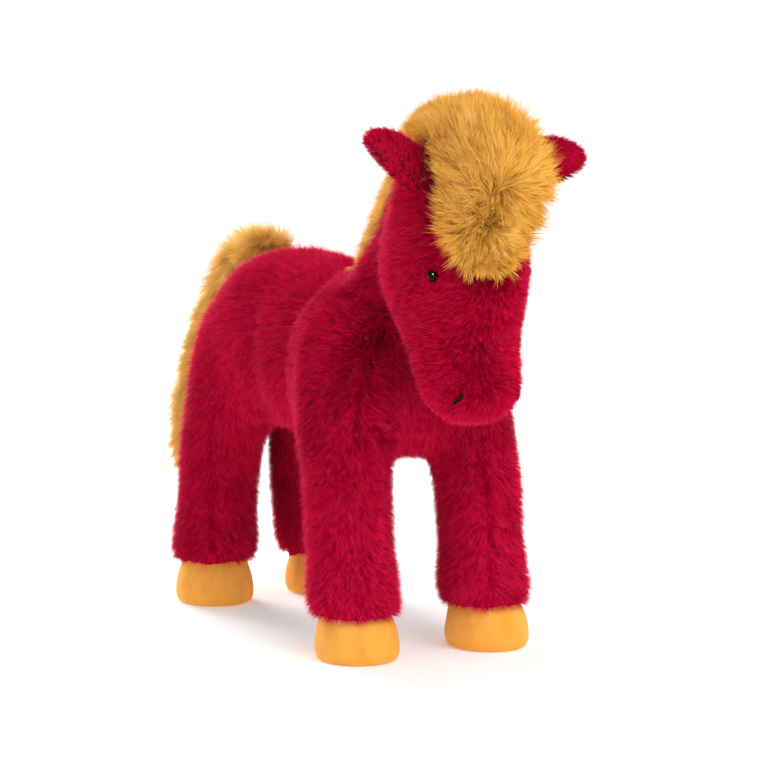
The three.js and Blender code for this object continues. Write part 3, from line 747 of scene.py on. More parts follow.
@dataclass
class Ground:
    """The cloth that a pile grows from, as arrays: its square faces, its vertices and their marks."""

    faces: np.ndarray
    places: np.ndarray
    normals: np.ndarray
    regions: np.ndarray
    marks: dict[str, np.ndarray] = field(default_factory=dict)

    @classmethod
    def of(cls, piece: bpy.types.Object, marks: Sequence[str] = ()) -> Ground:
        """Reads the piece's square faces."""
        mesh = piece.data
        square = numbers_of(mesh.polygons, "loop_total", kind=np.int32) == 4
        start = numbers_of(mesh.polygons, "loop_start", kind=np.int32)
        region = numbers_of(mesh.polygons, "material_index", kind=np.int32)
        corner = numbers_of(mesh.loops, "vertex_index", kind=np.int32)
        faces = corner[start[square][:, None] + np.arange(4)]
        kept = {name: marks_of(mesh, name) for name in marks}
        return cls(faces, points_of(mesh), normals_of(mesh), region[square], kept)

    def scatter(self, density: float, rng: np.random.Generator, region: int | None = None) -> Roots:
        """Spreads roots evenly over the cloth.

        Args:
            density: Roots per square metre.
            rng: Seeded source of chance.
            region: Number of the only region that gets roots, or None for all.

        Returns:
            The roots with their normals and marks.
        """
        quads = self.faces if region is None else self.faces[self.regions == region]
        corners = self.places[quads]
        diagonals = corners[:, 2] - corners[:, 0], corners[:, 3] - corners[:, 1]
        areas = 0.5 * np.linalg.norm(np.cross(*diagonals), axis=1)
        count = np.floor(areas * density + rng.random(len(quads))).astype(int)
        owner = np.repeat(np.arange(len(quads)), count)
        rank = np.arange(len(owner)) - np.repeat(np.cumsum(count) - count, count)
        spot = (rng.random((len(quads), 2))[owner] + rank[:, None] * np.array(EVEN_STEPS)) % 1.0
        s, t = spot[:, :1], spot[:, 1:]
        weights = np.stack([(1 - s) * (1 - t), s * (1 - t), s * t, (1 - s) * t], 1)
        quads = quads[owner]
        places = (self.places[quads] * weights).sum(1)
        normals = unit((self.normals[quads] * weights).sum(1))
        marks = {k: (v[quads] * weights[:, :, 0]).sum(1) for k, v in self.marks.items()}
        return Roots(places, normals, marks)


@dataclass
class Roots:
    """Where tufts of pile start, with the cloth's normals and marks there."""

    places: np.ndarray
    normals: np.ndarray
    marks: dict[str, np.ndarray]

    def only(self, kept: np.ndarray) -> Roots:
        """Returns the roots that kept picks out."""
        return Roots(self.places[kept], self.normals[kept], {k: v[kept] for k, v in self.marks.items()})


def growth_of(
    cut: Cut, roots: Roots, comb: np.ndarray, length: np.ndarray, tone: np.ndarray, seed: int
) -> Growth:
    """Grows tufts of ribbons from roots.

    Args:
        cut: How the pile is cut.
        roots: Where the tufts start.
        comb: Direction that each tuft is brushed in. Where it is shorter than 1, the tuft stands up more.
        length: Factor on the cut's length, per tuft.
        tone: Tone of each tuft, from 0, dark, to 1, light.
        seed: Chooses the chance.

    Returns:
        The ribbons' middle lines, widths, normals and tones.
    """
    rng = np.random.default_rng(seed)
    tufts, each, levels = len(roots.places), cut.ribbons, cut.levels
    up = roots.normals
    flat_comb = comb - up * (comb * up).sum(1, keepdims=True)
    upright = 1 - np.clip(np.linalg.norm(flat_comb, axis=1), 0, 1)
    lay = turned(unit(flat_comb), up, np.radians(rng.normal(0, cut.stray[0], tufts)))
    tuft_rise = rng.normal(0, cut.sway[0], tufts)
    tuft_long = rng.uniform(*cut.uneven, tufts)
    owner = np.repeat(np.arange(tufts), each)
    total = len(owner)
    up, lay = up[owner], lay[owner]
    side = np.cross(up, lay)
    turn = rng.uniform(0, math.tau, total)
    away = cut.reach * np.sqrt(rng.random(total))
    offset = lay * (np.cos(turn) * away)[:, None] + side * (np.sin(turn) * away)[:, None]
    lay = turned(lay, up, np.radians(rng.normal(0, cut.stray[1], total)))
    rise = tuft_rise[owner] + rng.normal(0, cut.sway[1], total)
    long = cut.length * (length * tuft_long)[owner] * rng.uniform(*cut.ragged, total)
    lines = np.empty((total, levels + 1, 3))
    lines[:, 0] = roots.places[owner] + offset
    for level in range(levels):
        middle = (level + 0.5) / levels
        angle = cut.rise[0] + (cut.rise[1] - cut.rise[0]) * middle
        angle = angle + (cut.upright - angle) * cut.standing * upright[owner]
        lift = np.radians(angle + rise)
        heading = up * np.sin(lift)[:, None] + lay * np.cos(lift)[:, None]
        heading[:, 2] -= cut.droop * middle
        gather = cut.tuft * ((level + 1) ** 2 - level**2) / levels**2
        lines[:, level + 1] = lines[:, level] + unit(heading) * (long / levels)[:, None] - offset * gather
    along = unit(lines[:, -1] - lines[:, 0])
    flat = across(along, up + 1e-3 * lay)
    flat = turned(flat, along, rng.uniform(-cut.twist, cut.twist, total))
    facing = across(flat, along)
    outward = np.where((facing * up).sum(1, keepdims=True) < 0, -1.0, 1.0)
    flat, facing = flat * outward, facing * outward
    shades = np.clip(tone[owner] + rng.normal(0, cut.speckle, total), 0.0, 1.0)
    shading = unit(cut.rounding * up + (1 - cut.rounding) * facing)
    return Growth(lines, flat * (cut.width / 2), shading, shades, cut.top)


@dataclass
class Growth:
    """Ribbons as arrays: middle lines, half widths as vectors, and a shading normal and a tone for each."""

    lines: np.ndarray
    halves: np.ndarray
    facing: np.ndarray
    tones: np.ndarray
    top: float

    def part(self, start: int, stop: int) -> Growth:
        """Returns the ribbons from start up to stop."""
        kept = slice(start, stop)
        return Growth(self.lines[kept], self.halves[kept], self.facing[kept], self.tones[kept], self.top)

    def mesh(self, name: str) -> bpy.types.Mesh:
        """Builds the ribbons as a mesh with the pile's map and soft normals.

        Args:
            name: Name of the new mesh.

        Returns:
            The mesh, with one pointed ribbon for each line.
        """
        total, levels = len(self.lines), self.lines.shape[1] - 1
        each = 2 * levels + 1
        taper = 1.0 - RIBBON_TAPER * np.arange(levels) / levels
        wide = self.halves[:, None] * taper[None, :, None]
        verts = np.empty((total, each, 3))
        verts[:, 0 : 2 * levels : 2] = self.lines[:, :-1] - wide
        verts[:, 1 : 2 * levels : 2] = self.lines[:, :-1] + wide
        verts[:, -1] = self.lines[:, -1]
        squares = [2 * level + corner for level in range(levels - 1) for corner in (0, 1, 3, 2)]
        order = np.array([*squares, 2 * levels - 2, 2 * levels - 1, 2 * levels])
        starts = 4 * np.arange(levels)
        first = np.arange(total)[:, None]
        mesh = bpy.data.meshes.new(name)
        mesh.vertices.add(total * each)
        mesh.vertices.foreach_set("co", verts.astype(np.float32).ravel())
        mesh.loops.add(total * len(order))
        mesh.loops.foreach_set("vertex_index", (first * each + order).astype(np.int32).ravel())
        mesh.polygons.add(total * len(starts))
        mesh.polygons.foreach_set("loop_start", (first * len(order) + starts).astype(np.int32).ravel())
        height = np.append(np.repeat(np.arange(levels) / levels, 2), 1.0)
        edge = np.append(np.tile([-1.0, 1.0], levels), 0.0)
        across_map = MAP_START[0] + MAP_SPAN[0] * self.tones[:, None] + MAP_EDGE * edge
        up_map = np.broadcast_to(MAP_START[1] + MAP_SPAN[1] * self.top * height, across_map.shape)
        spots = np.stack([across_map, up_map], 2)[:, order]
        layer = mesh.uv_layers.new(name=PILE_MAP)
        layer.uv.foreach_set("vector", spots.astype(np.float32).ravel())
        mesh.update(calc_edges=True)
        mesh.shade_smooth()
        soft = np.repeat(self.facing, each, axis=0).astype(np.float32)
        mesh.normals_split_custom_set_from_vertices(soft)
        return mesh


def pile_pieces(
    name: str, growth: Growth, finish: bpy.types.Material
) -> list[bpy.types.Object]:
    """Makes a pile's pieces, as many as keep each below the limit of faces.

    Args:
        name: Name of the pile. Its pieces are numbered where there are several.
        growth: The ribbons.
        finish: The pile's material.

    Returns:
        The pieces, which ride on nothing yet.
    """
    total, levels = len(growth.lines), growth.lines.shape[1] - 1
    parts = max(1, math.ceil(total * (2 * levels - 1) / MOST_RIBBON_FACES))
    made = []
    for number in range(parts):
        label = name if parts == 1 else f"{name}_{number + 1}"
        part = growth.part(total * number // parts, total * (number + 1) // parts)
        piece = new_object(label, part.mesh(label))
        piece.data.materials.append(finish)
        made.append(piece)
        log.info("%s: %d ribbons", label, len(part.lines))
    return made


# Camera, light and floor


@dataclass
class Studio:
    """The camera of the photograph, a pale floor that runs up behind, and soft light from large panels."""

    target: Vector = Vector((11.58, 4.60, 132.93)) * MM
    distance: float = 1666.07 * MM
    azimuth: float = -27.83
    elevation: float = 6.5

    def __post_init__(self) -> None:
        """Works out the camera's axes."""
        a, e = math.radians(self.azimuth), math.radians(self.elevation)
        self.back = Vector((math.sin(a) * math.cos(e), -math.cos(a) * math.cos(e), math.sin(e)))
        self.eye = self.target + self.back * self.distance
        self.right = (-self.back).cross(Vector((0, 0, 1))).normalized()
        self.up = self.right.cross(-self.back)

    def ray(self, pixel: tuple[float, float]) -> Vector:
        """Returns the direction in which the camera sees a pixel of the photograph."""
        across_frame = (pixel[0] - PHOTO_SIDE / 2) / PIXELS_OF_FOCAL_LENGTH
        up_frame = (PHOTO_SIDE / 2 - pixel[1]) / PIXELS_OF_FOCAL_LENGTH
        return (-self.back + self.right * across_frame + self.up * up_frame).normalized()

    def spot(self, tree: BVHTree, pixel: tuple[float, float]) -> Vector | None:
        """Returns where the camera's ray through a pixel first meets the tree's surface."""
        return tree.ray_cast(self.eye, self.ray(pixel))[0]

    def add_camera(self) -> None:
        """Adds the camera and makes it the scene's."""
        lens = bpy.data.cameras.new("photo_camera")
        lens.sensor_width = SENSOR_MM
        lens.lens = PIXELS_OF_FOCAL_LENGTH / PHOTO_SIDE * SENSOR_MM
        lens.clip_start, lens.clip_end = 0.1, 20.0
        camera = new_object("photo_camera", lens)
        camera.location = self.eye
        camera.rotation_mode = "QUATERNION"
        camera.rotation_quaternion = (-self.back).to_track_quat("-Z", "Y")
        bpy.context.scene.camera = camera

    def add_panel(
        self, name: str, place: Vector, size: float, watts: float, tint: Colour
    ) -> bpy.types.Object:
        """Adds a square light panel that faces the horse's middle.

        Args:
            name: Name of the light.
            place: Its middle, in metres from the horse's middle.
            size: Length of its side in metres.
            watts: Its power.
            tint: Its colour.

        Returns:
            The panel.
        """
        lamp = bpy.data.lights.new(name, "AREA")
        lamp.shape = "SQUARE"
        lamp.size = size
        lamp.energy = watts
        lamp.color = tint
        panel = new_object(name, lamp)
        panel.location = self.target + place
        panel.rotation_mode = "QUATERNION"
        panel.rotation_quaternion = (-place).to_track_quat("-Z", "Y")
        panel.visible_glossy = False
        return panel

    def add_light(self) -> None:
        """Adds a pale surround, panels in front, above and behind to both sides, and one for the gleam."""
        world = bpy.data.worlds.new("studio_surround")
        world.use_nodes = True
        glow = next(n for n in world.node_tree.nodes if n.type == "BACKGROUND")
        glow.inputs["Color"].default_value = (1.0, 0.985, 0.98, 1.0)
        glow.inputs["Strength"].default_value = 0.48
        bpy.context.scene.world = world
        bpy.context.scene.view_settings.view_transform = "Standard"
        right, up, back = self.right, Vector((0, 0, 1)), self.back
        self.add_panel("panel_key", back * 0.95 + right * 0.6 + up * 0.9, 1.2, 14.5, (1.0, 0.985, 0.97))
        self.add_panel("panel_above", up * 1.5 - back * 0.4, 1.2, 3.0, (1.0, 0.98, 0.96))
        self.add_panel("panel_left", -right * 0.95 + up * 0.6 - back * 1.55, 1.0, 56.0, (1.0, 0.98, 0.98))
        self.add_panel("panel_right", right * 1.3 + up * 0.3 - back * 0.9, 0.9, 8.0, (1.0, 0.98, 0.98))
        gleam = self.add_panel("panel_gleam", back * 1.2 - right * 0.3 + up * 0.4, 0.5, 100.0, WHITE)
        gleam.visible_glossy, gleam.visible_diffuse = True, False

    def add_floor(self) -> None:
        """Adds the floor and the curved backdrop behind it, in one sheet, which glows as painted light:
        faintly beside the horse and more strongly further away.
        """
        half, bend = 6.0, 1.2
        sheet = bmesh.new()
        edge = [sheet.verts.new((x, -half, 0.0)) for x in (-half, half)]
        far, line = extruded(sheet, [sheet.edges.new(edge)])
        bmesh.ops.translate(sheet, verts=far, vec=(0.0, half * 1.6, 0.0))
        bmesh.ops.spin(
            sheet,
            geom=[*line, *far],
            cent=(0.0, half * 0.6, bend),
            axis=(1.0, 0.0, 0.0),
            angle=math.radians(84),
            steps=24,
        )
        bmesh.ops.recalc_face_normals(sheet, faces=sheet.faces)
        floor = object_from("studio_floor", sheet)
        floor.rotation_euler = (0.0, 0.0, math.radians(self.azimuth))
        shader = Shader("studio_paper")
        grain = shader.noise(shader.places(), 60.0, 3.0)
        shader.colour(shader.ramp(grain, ((0.3, (0.88, 0.875, 0.875)), (0.7, (0.9, 0.895, 0.895)))))
        # Painted light: the sheet's glow grows with distance from the horse's middle.
        away = shader.node("ShaderNodeVectorMath", operation="LENGTH")
        shader.link(shader.places(), away.inputs[0])
        glow = shader.ramp(away.outputs["Value"], ((0.16, (0.22,) * 3), (0.8, (0.55,) * 3)))
        shader.link(glow, shader.surface.inputs["Emission Color"])
        shader.fix(Roughness=0.9, Specular_IOR_Level=0.05, Emission_Strength=1.0)
        floor.data.materials.append(shader.material)


# The coat


@dataclass(frozen=True)
class Crease:
    """A seam, fold or swelling of the photograph, by the pixels that it passes.

    Its width and depth are in metres, with a negative depth for a swelling. Parting, from 0 to 1, is how
    far the pile parts along it, and also how much darker its pile is painted beside it, as painted shade.
    """

    name: str
    pixels: tuple[tuple[float, float], ...]
    width: float
    depth: float
    parting: float = 1.0
    pixel_step: float = 1.5

    def trace(self, studio: Studio, tree: BVHTree) -> list[Vector]:
        """Returns close points of the crease on the surface that the camera sees."""
        found = []
        for (x0, y0), (x1, y1) in zip(self.pixels, self.pixels[1:], strict=False):
            steps = max(2, int(math.hypot(x1 - x0, y1 - y0) / self.pixel_step))
            for n in range(steps):
                share = n / steps
                hit = studio.spot(tree, (x0 + (x1 - x0) * share, y0 + (y1 - y0) * share))
                if hit is not None:
                    found.append(hit)
        return found


@dataclass
class Coat:
    """The stuffed skin of body, neck, head and legs, and the short crimson pile on it."""

    studio: Studio
    voxel: float = 3.8 * MM
    pile_depth: float = 3.0 * MM
    swell: float = 1.3 * MM
    settle_frames: int = 20
    eye_ring: float = 4.0 * MM
    stitch_rings: tuple[float, float] = (1.2 * MM, -0.4 * MM)
    feature_fade: tuple[float, float] = (0.0, 8.0 * MM)
    thigh_middle: tuple[float, float, float] = (15.0 * MM, 114.0 * MM, 66.0 * MM)
    thigh_reach: tuple[float, float, float] = (18.0 * MM, 24.0 * MM, 50.0 * MM)
    thigh_fullness: float = 7.5 * MM
    hem_flare: float = 2.4 * MM
    hem_rise: tuple[float, float] = (1.4 * MM, 2.8 * MM)
    seam_dip: tuple[float, float] = (0.5 * MM, 2.2 * MM)
    parting_widths: tuple[float, float] = (4.5 * MM, 1.6 * MM)
    pile_reach: float = 1.9 * MM
    bare_line: float = 0.6
    traces: list[tuple[Crease, KDTree]] = field(default_factory=list)
    undercoat: Cut = Cut(
        length=6.2 * MM,
        rise=(40.0, 40.0),
        density=490_000.0,
        ribbons=6,
        width=0.44 * MM,
        reach=1.0 * MM,
        tuft=0.2,
        stray=(20.0, 16.0),
        levels=1,
        top=0.7,
    )
    pile: Cut = Cut(
        length=7.8 * MM,
        rise=(60.0, 28.0),
        density=330_000.0,
        ribbons=5,
        width=0.24 * MM,
        reach=1.0 * MM,
        tuft=0.35,
        stray=(16.0, 13.0),
        speckle=0.2,
    )
    creases: tuple[Crease, ...] = (
        Crease(
            "shoulder",
            ((385, 328), (378, 352), (371, 372), (363, 392), (361, 412), (362, 442)),
            2.4 * MM,
            3.2 * MM,
        ),
        Crease("near_front_leg", ((362, 442), (367, 470), (368, 522), (369, 560)), 1.8 * MM, 0.7 * MM, 0.16),
        Crease("chest_fold", ((366, 426), (377, 433), (388, 441)), 2.0 * MM, 2.2 * MM, 0.9),
        Crease("far_front_leg", ((480, 458), (488, 500), (491, 550), (491, 585)), 1.8 * MM, 0.9 * MM, 0.34),
        Crease("near_hind_leg", ((214, 420), (213, 470), (214, 545)), 1.8 * MM, 0.8 * MM, 0.26),
        Crease("face", ((450, 325), (456, 350), (462, 372), (465, 390)), 1.7 * MM, 0.7 * MM, 0.15),
        Crease(
            "shoulder_edge",
            ((349, 270), (322, 291), (302, 313), (291, 342), (288, 377), (291, 410)),
            5.5 * MM,
            3.8 * MM,
            0.0,
        ),
        Crease(
            "shoulder_swell",
            ((364, 286), (340, 306), (321, 324), (310, 349), (307, 377), (309, 408), (310, 440)),
            8.0 * MM,
            -2.6 * MM,
            0.0,
        ),
        Crease(
            "haunch_edge",
            ((262, 300), (259, 330), (258, 360), (261, 385), (270, 404)),
            6.0 * MM,
            2.2 * MM,
            0.0,
        ),
    )

    def build(self) -> None:
        """Builds the skin, splits it by region and grows the pile."""
        panels = [n for names in REGION_PANELS.values() for n in names]
        fillings = [n for names in REGION_FILLINGS.values() for n in names]
        skin = cloth_form("coat_skin", panels + fillings, self.voxel, 7)
        self.mark_regions(skin)
        self.sink(skin)
        self.inflate(skin)
        self.press_creases(skin)
        subdivide(skin)
        ground = Ground.of(skin, COAT_MARKS)
        self.split(skin)
        self.grow(ground)

    def bareness(self, places: np.ndarray) -> np.ndarray:
        """Returns how far each place lies from the nearest eye's rim or nostril stitch, in metres."""
        eyes = [sum(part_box(f"eye_{side}"), Vector()) / 2 for side in ("left", "right")]
        stitches = tree_of(["nostril_stitch_left", "nostril_stitch_right"])
        gap = np.linalg.norm(places[:, None] - np.array(eyes)[None], axis=2).min(1) - self.eye_ring
        stitch_gap = np.array([stitches.find_nearest(Vector(p))[3] for p in places])
        stitch_gap -= np.where(places[:, 0] < MIDDLE, *self.stitch_rings)
        return np.minimum(gap, stitch_gap)

    def mark_regions(self, skin: bpy.types.Object) -> None:
        """Marks each face with its region, and each vertex with its distance to panel, seam and feature."""
        mesh = skin.data
        for region in Region:
            mesh.materials.append(bpy.data.materials.new(f"mark_{region.name.lower()}"))
        trees = {region: tree_of(names) for region, names in REGION_PANELS.items()}
        nearest = np.empty(len(mesh.polygons), np.int32)
        for face in mesh.polygons:
            gaps = {r: t.find_nearest(face.center)[3] for r, t in trees.items()}
            nearest[face.index] = min(gaps, key=gaps.get).value
        mesh.polygons.foreach_set("material_index", nearest)
        single = [tree_of([name]) for names in REGION_PANELS.values() for name in names]
        own, other = np.empty(len(mesh.vertices)), np.empty(len(mesh.vertices))
        for vertex in mesh.vertices:
            gaps = sorted(t.find_nearest(vertex.co)[3] for t in single)
            own[vertex.index], other[vertex.index] = gaps[0], gaps[1]
        set_marks(mesh, "panel_gap", own)
        set_marks(mesh, "seam_gap", other)
        set_marks(mesh, "feature_gap", self.bareness(points_of(mesh)))

    def sink(self, skin: bpy.types.Object) -> None:
        """Sinks the skin to where the pile is rooted, less so round eyes and nostrils."""
        mesh = skin.data
        near = smooth_step(*self.feature_fade, marks_of(mesh, "feature_gap"))
        normals = normals_of(mesh)
        back = smooth_step(0.5, 0.95, normals[:, 2])
        depth = self.pile_depth * (0.12 + 0.88 * near) * (1 - 0.45 * back)
        places = points_of(mesh) - normals * depth[:, None]
        places = averaged(mesh, places, 30, self.haunch_share(mesh, places, normals))
        self.fill_thighs(places, normals)
        self.shape_hems(places, normals)
        set_points(mesh, places)

    def haunch_share(
        self, mesh: bpy.types.Mesh, places: np.ndarray, normals: np.ndarray
    ) -> np.ndarray:
        """Returns how far each vertex, from 0 to 1, lies in the seam where the haunch joins the body."""
        height = places[:, 2]
        share = bell(marks_of(mesh, "seam_gap"), 14 * MM)
        share *= smooth_step(20 * MM, 50 * MM, places[:, 1]) * smooth_step(80 * MM, 100 * MM, height)
        outer, below = np.abs(normals[:, 0]), -height
        return share * (smooth_step(0.2, 0.6, outer) * smooth_step(-200 * MM, -170 * MM, below))

    def fill_thighs(self, places: np.ndarray, normals: np.ndarray) -> None:
        """Moves the inner side of each hind leg backwards and inwards, where its stuffing is full."""
        for side in (-1.0, 1.0):
            thigh = np.array(self.thigh_middle) * (side, 1.0, 1.0) + (MIDDLE, 0.0, 0.0)
            gap = (places - thigh) / np.array(self.thigh_reach)
            fuller = np.exp(-(gap**2).sum(1)) * smooth_step(0.0, 0.6, -normals[:, 0] * side)
            places += np.outer(fuller * self.thigh_fullness, (-0.4 * side, 0.92, 0.0))

    def shape_hems(self, places: np.ndarray, normals: np.ndarray) -> None:
        """Flares the legs' hems round the hooves and lifts them off the walls, more so behind."""
        flare = self.hem_flare * (1 - smooth_step(26 * MM, 58 * MM, places[:, 2]))
        places[:, :2] += normals[:, :2] * flare[:, None]
        front, hind = self.hem_rise
        rise = front + (hind - front) * smooth_step(0, 60 * MM, places[:, 1])
        places[:, 2] += rise * (1 - smooth_step(24 * MM, 44 * MM, places[:, 2]))

    def inflate(self, skin: bpy.types.Object) -> None:
        """Lets pressure fill the skin between its seams, as stuffing does, and caps how far it moves."""
        mesh = skin.data
        start = points_of(mesh)
        seam = bell(marks_of(mesh, "seam_gap"), 4.0 * MM)
        feature = bell(np.maximum(marks_of(mesh, "feature_gap"), 0), 5.0 * MM)
        inside = smooth_step(2.0 * MM, 4.0 * MM, marks_of(mesh, "panel_gap"))
        held = np.clip(np.maximum.reduce([seam, feature, inside]), 0, 1)
        group = skin.vertex_groups.new(name="sewn")
        for index, weight in enumerate(held):
            group.add([index], float(weight), "REPLACE")
        cloth = skin.modifiers.new("stuffing", "CLOTH")
        settings = cloth.settings
        settings.quality = 4
        settings.mass = 0.3
        settings.tension_stiffness = settings.compression_stiffness = 12.0
        settings.bending_stiffness = 2.0
        settings.use_pressure = True
        settings.uniform_pressure_force = 4.0
        settings.vertex_group_mass = "sewn"
        settings.pin_stiffness = 1.0
        settings.effector_weights.gravity = 0.0
        cloth.collision_settings.use_collision = False
        scene = bpy.context.scene
        for number in range(1, self.settle_frames + 1):
            scene.frame_set(number)
        apply_modifiers(skin)
        scene.frame_set(1)
        mesh = skin.data
        moved = points_of(mesh) - start
        reach = np.linalg.norm(moved, axis=1, keepdims=True)
        moved *= np.minimum(1.0, self.swell / np.maximum(reach, 1e-9))
        set_points(mesh, start + moved)
        log.info("coat: stuffing moved the skin %.2f mm on average", reach.mean() / MM)

    def press_creases(self, skin: bpy.types.Object) -> None:
        """Presses the seams and the photograph's creases into the skin."""
        mesh = skin.data
        places = points_of(mesh)
        tree = tree_over(mesh)
        depth, width = self.seam_dip
        dip = depth * bell(marks_of(mesh, "seam_gap"), width)
        for crease in self.creases:
            points = crease.trace(self.studio, tree)
            if not points:
                log.warning("crease %s isn't on the skin", crease.name)
                continue
            near = KDTree(len(points))
            for index, point in enumerate(points):
                near.insert(point, index)
            near.balance()
            self.traces.append((crease, near))
            gap = np.array([near.find(p)[2] for p in places])
            dip += crease.depth * bell(gap, crease.width)
        set_marks(mesh, "parted", self.pulls(places)[:, 0])
        set_points(mesh, places - normals_of(mesh) * dip[:, None])

    def pulls(self, places: np.ndarray) -> np.ndarray:
        """Returns the creases' pull on the pile at each place, in the order of PULL_MARKS."""
        pulls = np.zeros((len(places), len(PULL_MARKS)))
        if not len(places):
            return pulls
        for crease, near in self.traces:
            if not crease.parting:
                continue
            found = [near.find(p) for p in places]
            gap = np.array([f[2] for f in found])
            share, line = (crease.parting * bell(gap, width) for width in self.parting_widths)
            away = unit(places - np.array([f[0] for f in found])) * share[:, None]
            more = share > pulls[:, 0]
            pulls[more] = np.column_stack([share, line, away])[more]
        return pulls

    def split(self, skin: bpy.types.Object) -> None:
        """Cuts the skin into closed pieces, one for each region, and dresses them."""
        material = COAT_BACKING.material()
        for region in Region:
            nodes = REGION_PANELS[region] + REGION_FILLINGS[region]
            form = bmesh.new()
            form.from_mesh(skin.data)
            lost = [f for f in form.faces if f.material_index != region.value]
            bmesh.ops.delete(form, geom=lost, context="FACES")
            self.close_cuts(form)
            for face in form.faces:
                face.material_index = 0
            piece = object_from(f"{region.name.lower()}_cloth", form)
            for name in COAT_MARKS:
                piece.data.attributes.remove(piece.data.attributes[name])
            dress(piece, material, Body.HORSE, nodes)
        bpy.data.objects.remove(skin)

    def close_cuts(self, form: bmesh.types.BMesh) -> None:
        """Closes each open edge loop with faces that run to a point inside the piece."""
        middle = sum((v.co for v in form.verts), Vector()) / len(form.verts)
        open_edges = {e for e in form.edges if e.is_boundary}
        while open_edges:
            loop = [open_edges.pop()]
            waiting = [loop[0]]
            while waiting:
                for vertex in waiting.pop().verts:
                    for edge in vertex.link_edges:
                        if edge in open_edges:
                            open_edges.discard(edge)
                            loop.append(edge)
                            waiting.append(edge)
            rim = {v for e in loop for v in e.verts}
            centre = sum((v.co for v in rim), Vector()) / len(rim)
            inner, _ = extruded(form, loop)
            bmesh.ops.pointmerge(form, verts=inner, merge_co=centre.lerp(middle, 0.25))
        bmesh.ops.recalc_face_normals(form, faces=form.faces)

    def comb(self, region: Region, roots: Roots) -> np.ndarray:
        """Returns the direction that the pile is brushed in.

        Args:
            region: Part of the coat.
            roots: Its roots.

        Returns:
            One direction per root, which need not lie flat.
        """
        places, up = roots.places, roots.normals
        flow = np.zeros_like(places)
        if region is Region.HEAD:
            front = smooth_step(-0.2, 0.7, -up[:, 1])
            flow[:, 0] = (places[:, 0] - MIDDLE) / (18 * MM) * (0.35 + 0.65 * front)
            flow[:, 1] = 0.9 * (1 - front) + 0.15
            flow[:, 2] = -0.45 - 0.5 * smooth_step(-165 * MM, -135 * MM, -places[:, 2])
        else:
            trunk = smooth_step(95 * MM, 165 * MM, places[:, 2])
            back = smooth_step(-75 * MM, -10 * MM, places[:, 1])
            hem = 1 - smooth_step(24 * MM, 38 * MM, places[:, 2])
            flow[:, 1] = 0.1 + trunk * (0.1 + 0.4 * back) + 1.3 * smooth_step(0.2, 0.9, up[:, 2])
            flow[:, 2] = -1.0 + 0.2 * trunk * back + 0.55 * hem
        flow += 0.2 * stirred(places, 55 * MM, 11)
        flow += 3.0 * np.stack([roots.marks[name] for name in AWAY_MARKS], 1)
        return flow

    def grow(self, ground: Ground) -> None:
        """Grows the dense undercoat and the longer pile on every region."""
        finish = COAT_PILE.material()
        for region in Region:
            for label, cut, seed in (("undercoat", self.undercoat, 100), ("pile", self.pile, 160)):
                growth = self.growth(ground, region, cut, seed + region.value)
                for piece in pile_pieces(f"{region.name.lower()}_{label}", growth, finish):
                    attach(piece, Body.HORSE.value)

    def bared(self, roots: Roots) -> Roots:
        """Returns the roots with exact marks, without those on eyes, nostrils and crease lines."""
        marks = roots.marks
        beside = marks["feature_gap"] < 10 * MM
        marks["feature_gap"][beside] = self.bareness(roots.places[beside])
        beside = marks["parted"] > 0.01
        pulls = np.zeros((len(beside), len(PULL_MARKS)))
        pulls[beside] = self.pulls(roots.places[beside])
        marks.update(zip(PULL_MARKS, pulls.T, strict=True))
        kept = (marks["panel_gap"] < self.pile_reach) & (marks["feature_gap"] > 0)
        return roots.only(kept & (marks["line"] < self.bare_line))

    def growth(self, ground: Ground, region: Region, cut: Cut, seed: int) -> Growth:
        """Returns one layer of one region's pile.

        Args:
            ground: The whole coat's cloth.
            region: Part of the coat.
            cut: How this layer is cut.
            seed: Chooses the chance.

        Returns:
            The ribbons, none on eyes, nostrils and crease lines, and shorter beside them. Beside crease
            lines they are painted darker as painted shade, low on the legs painted lighter as painted light,
            and on the head painted darker as painted shade.
        """
        rng = np.random.default_rng(seed)
        roots = self.bared(ground.scatter(cut.density, rng, region.value))
        marks = roots.marks
        crease = marks["parted"] ** 2
        near = smooth_step(*self.feature_fade, marks["feature_gap"])
        hem = smooth_step(22 * MM, 42 * MM, roots.places[:, 2])
        short = 0.85 - 0.1 * smooth_step(0, 60 * MM, roots.places[:, 1])
        roots.normals[:, 2] = np.maximum(roots.normals[:, 2], -0.05 - 0.95 * hem)
        roots.normals[:] = unit(roots.normals)
        length = (0.45 + 0.55 * near) * (1 - 0.45 * crease) * (short + (1 - short) * hem)
        if region is Region.HEAD:
            length *= 0.8
        tone = 0.5 + 0.08 * drifts(roots.places, 24 * MM, 5) + 0.05 * drifts(roots.places, 9 * MM, 6)
        # Painted shade: the pile is painted darker beside creases and along crease lines.
        tone += rng.normal(0, 0.06, len(tone)) - 0.08 * crease - 0.12 * marks["line"]
        # Painted light: the pile low on the legs, most of all at the front, is painted lighter.
        low = 1 - smooth_step(35 * MM, 140 * MM, roots.places[:, 2])
        tone += 0.24 * low * (0.35 + 0.65 * smooth_step(-30 * MM, 30 * MM, -roots.places[:, 1]))
        # Painted shade: the whole head's pile is painted darker.
        if region is Region.HEAD:
            tone -= 0.08
        return growth_of(cut, roots, self.comb(region, roots), length, tone, seed + 50)


# Ears


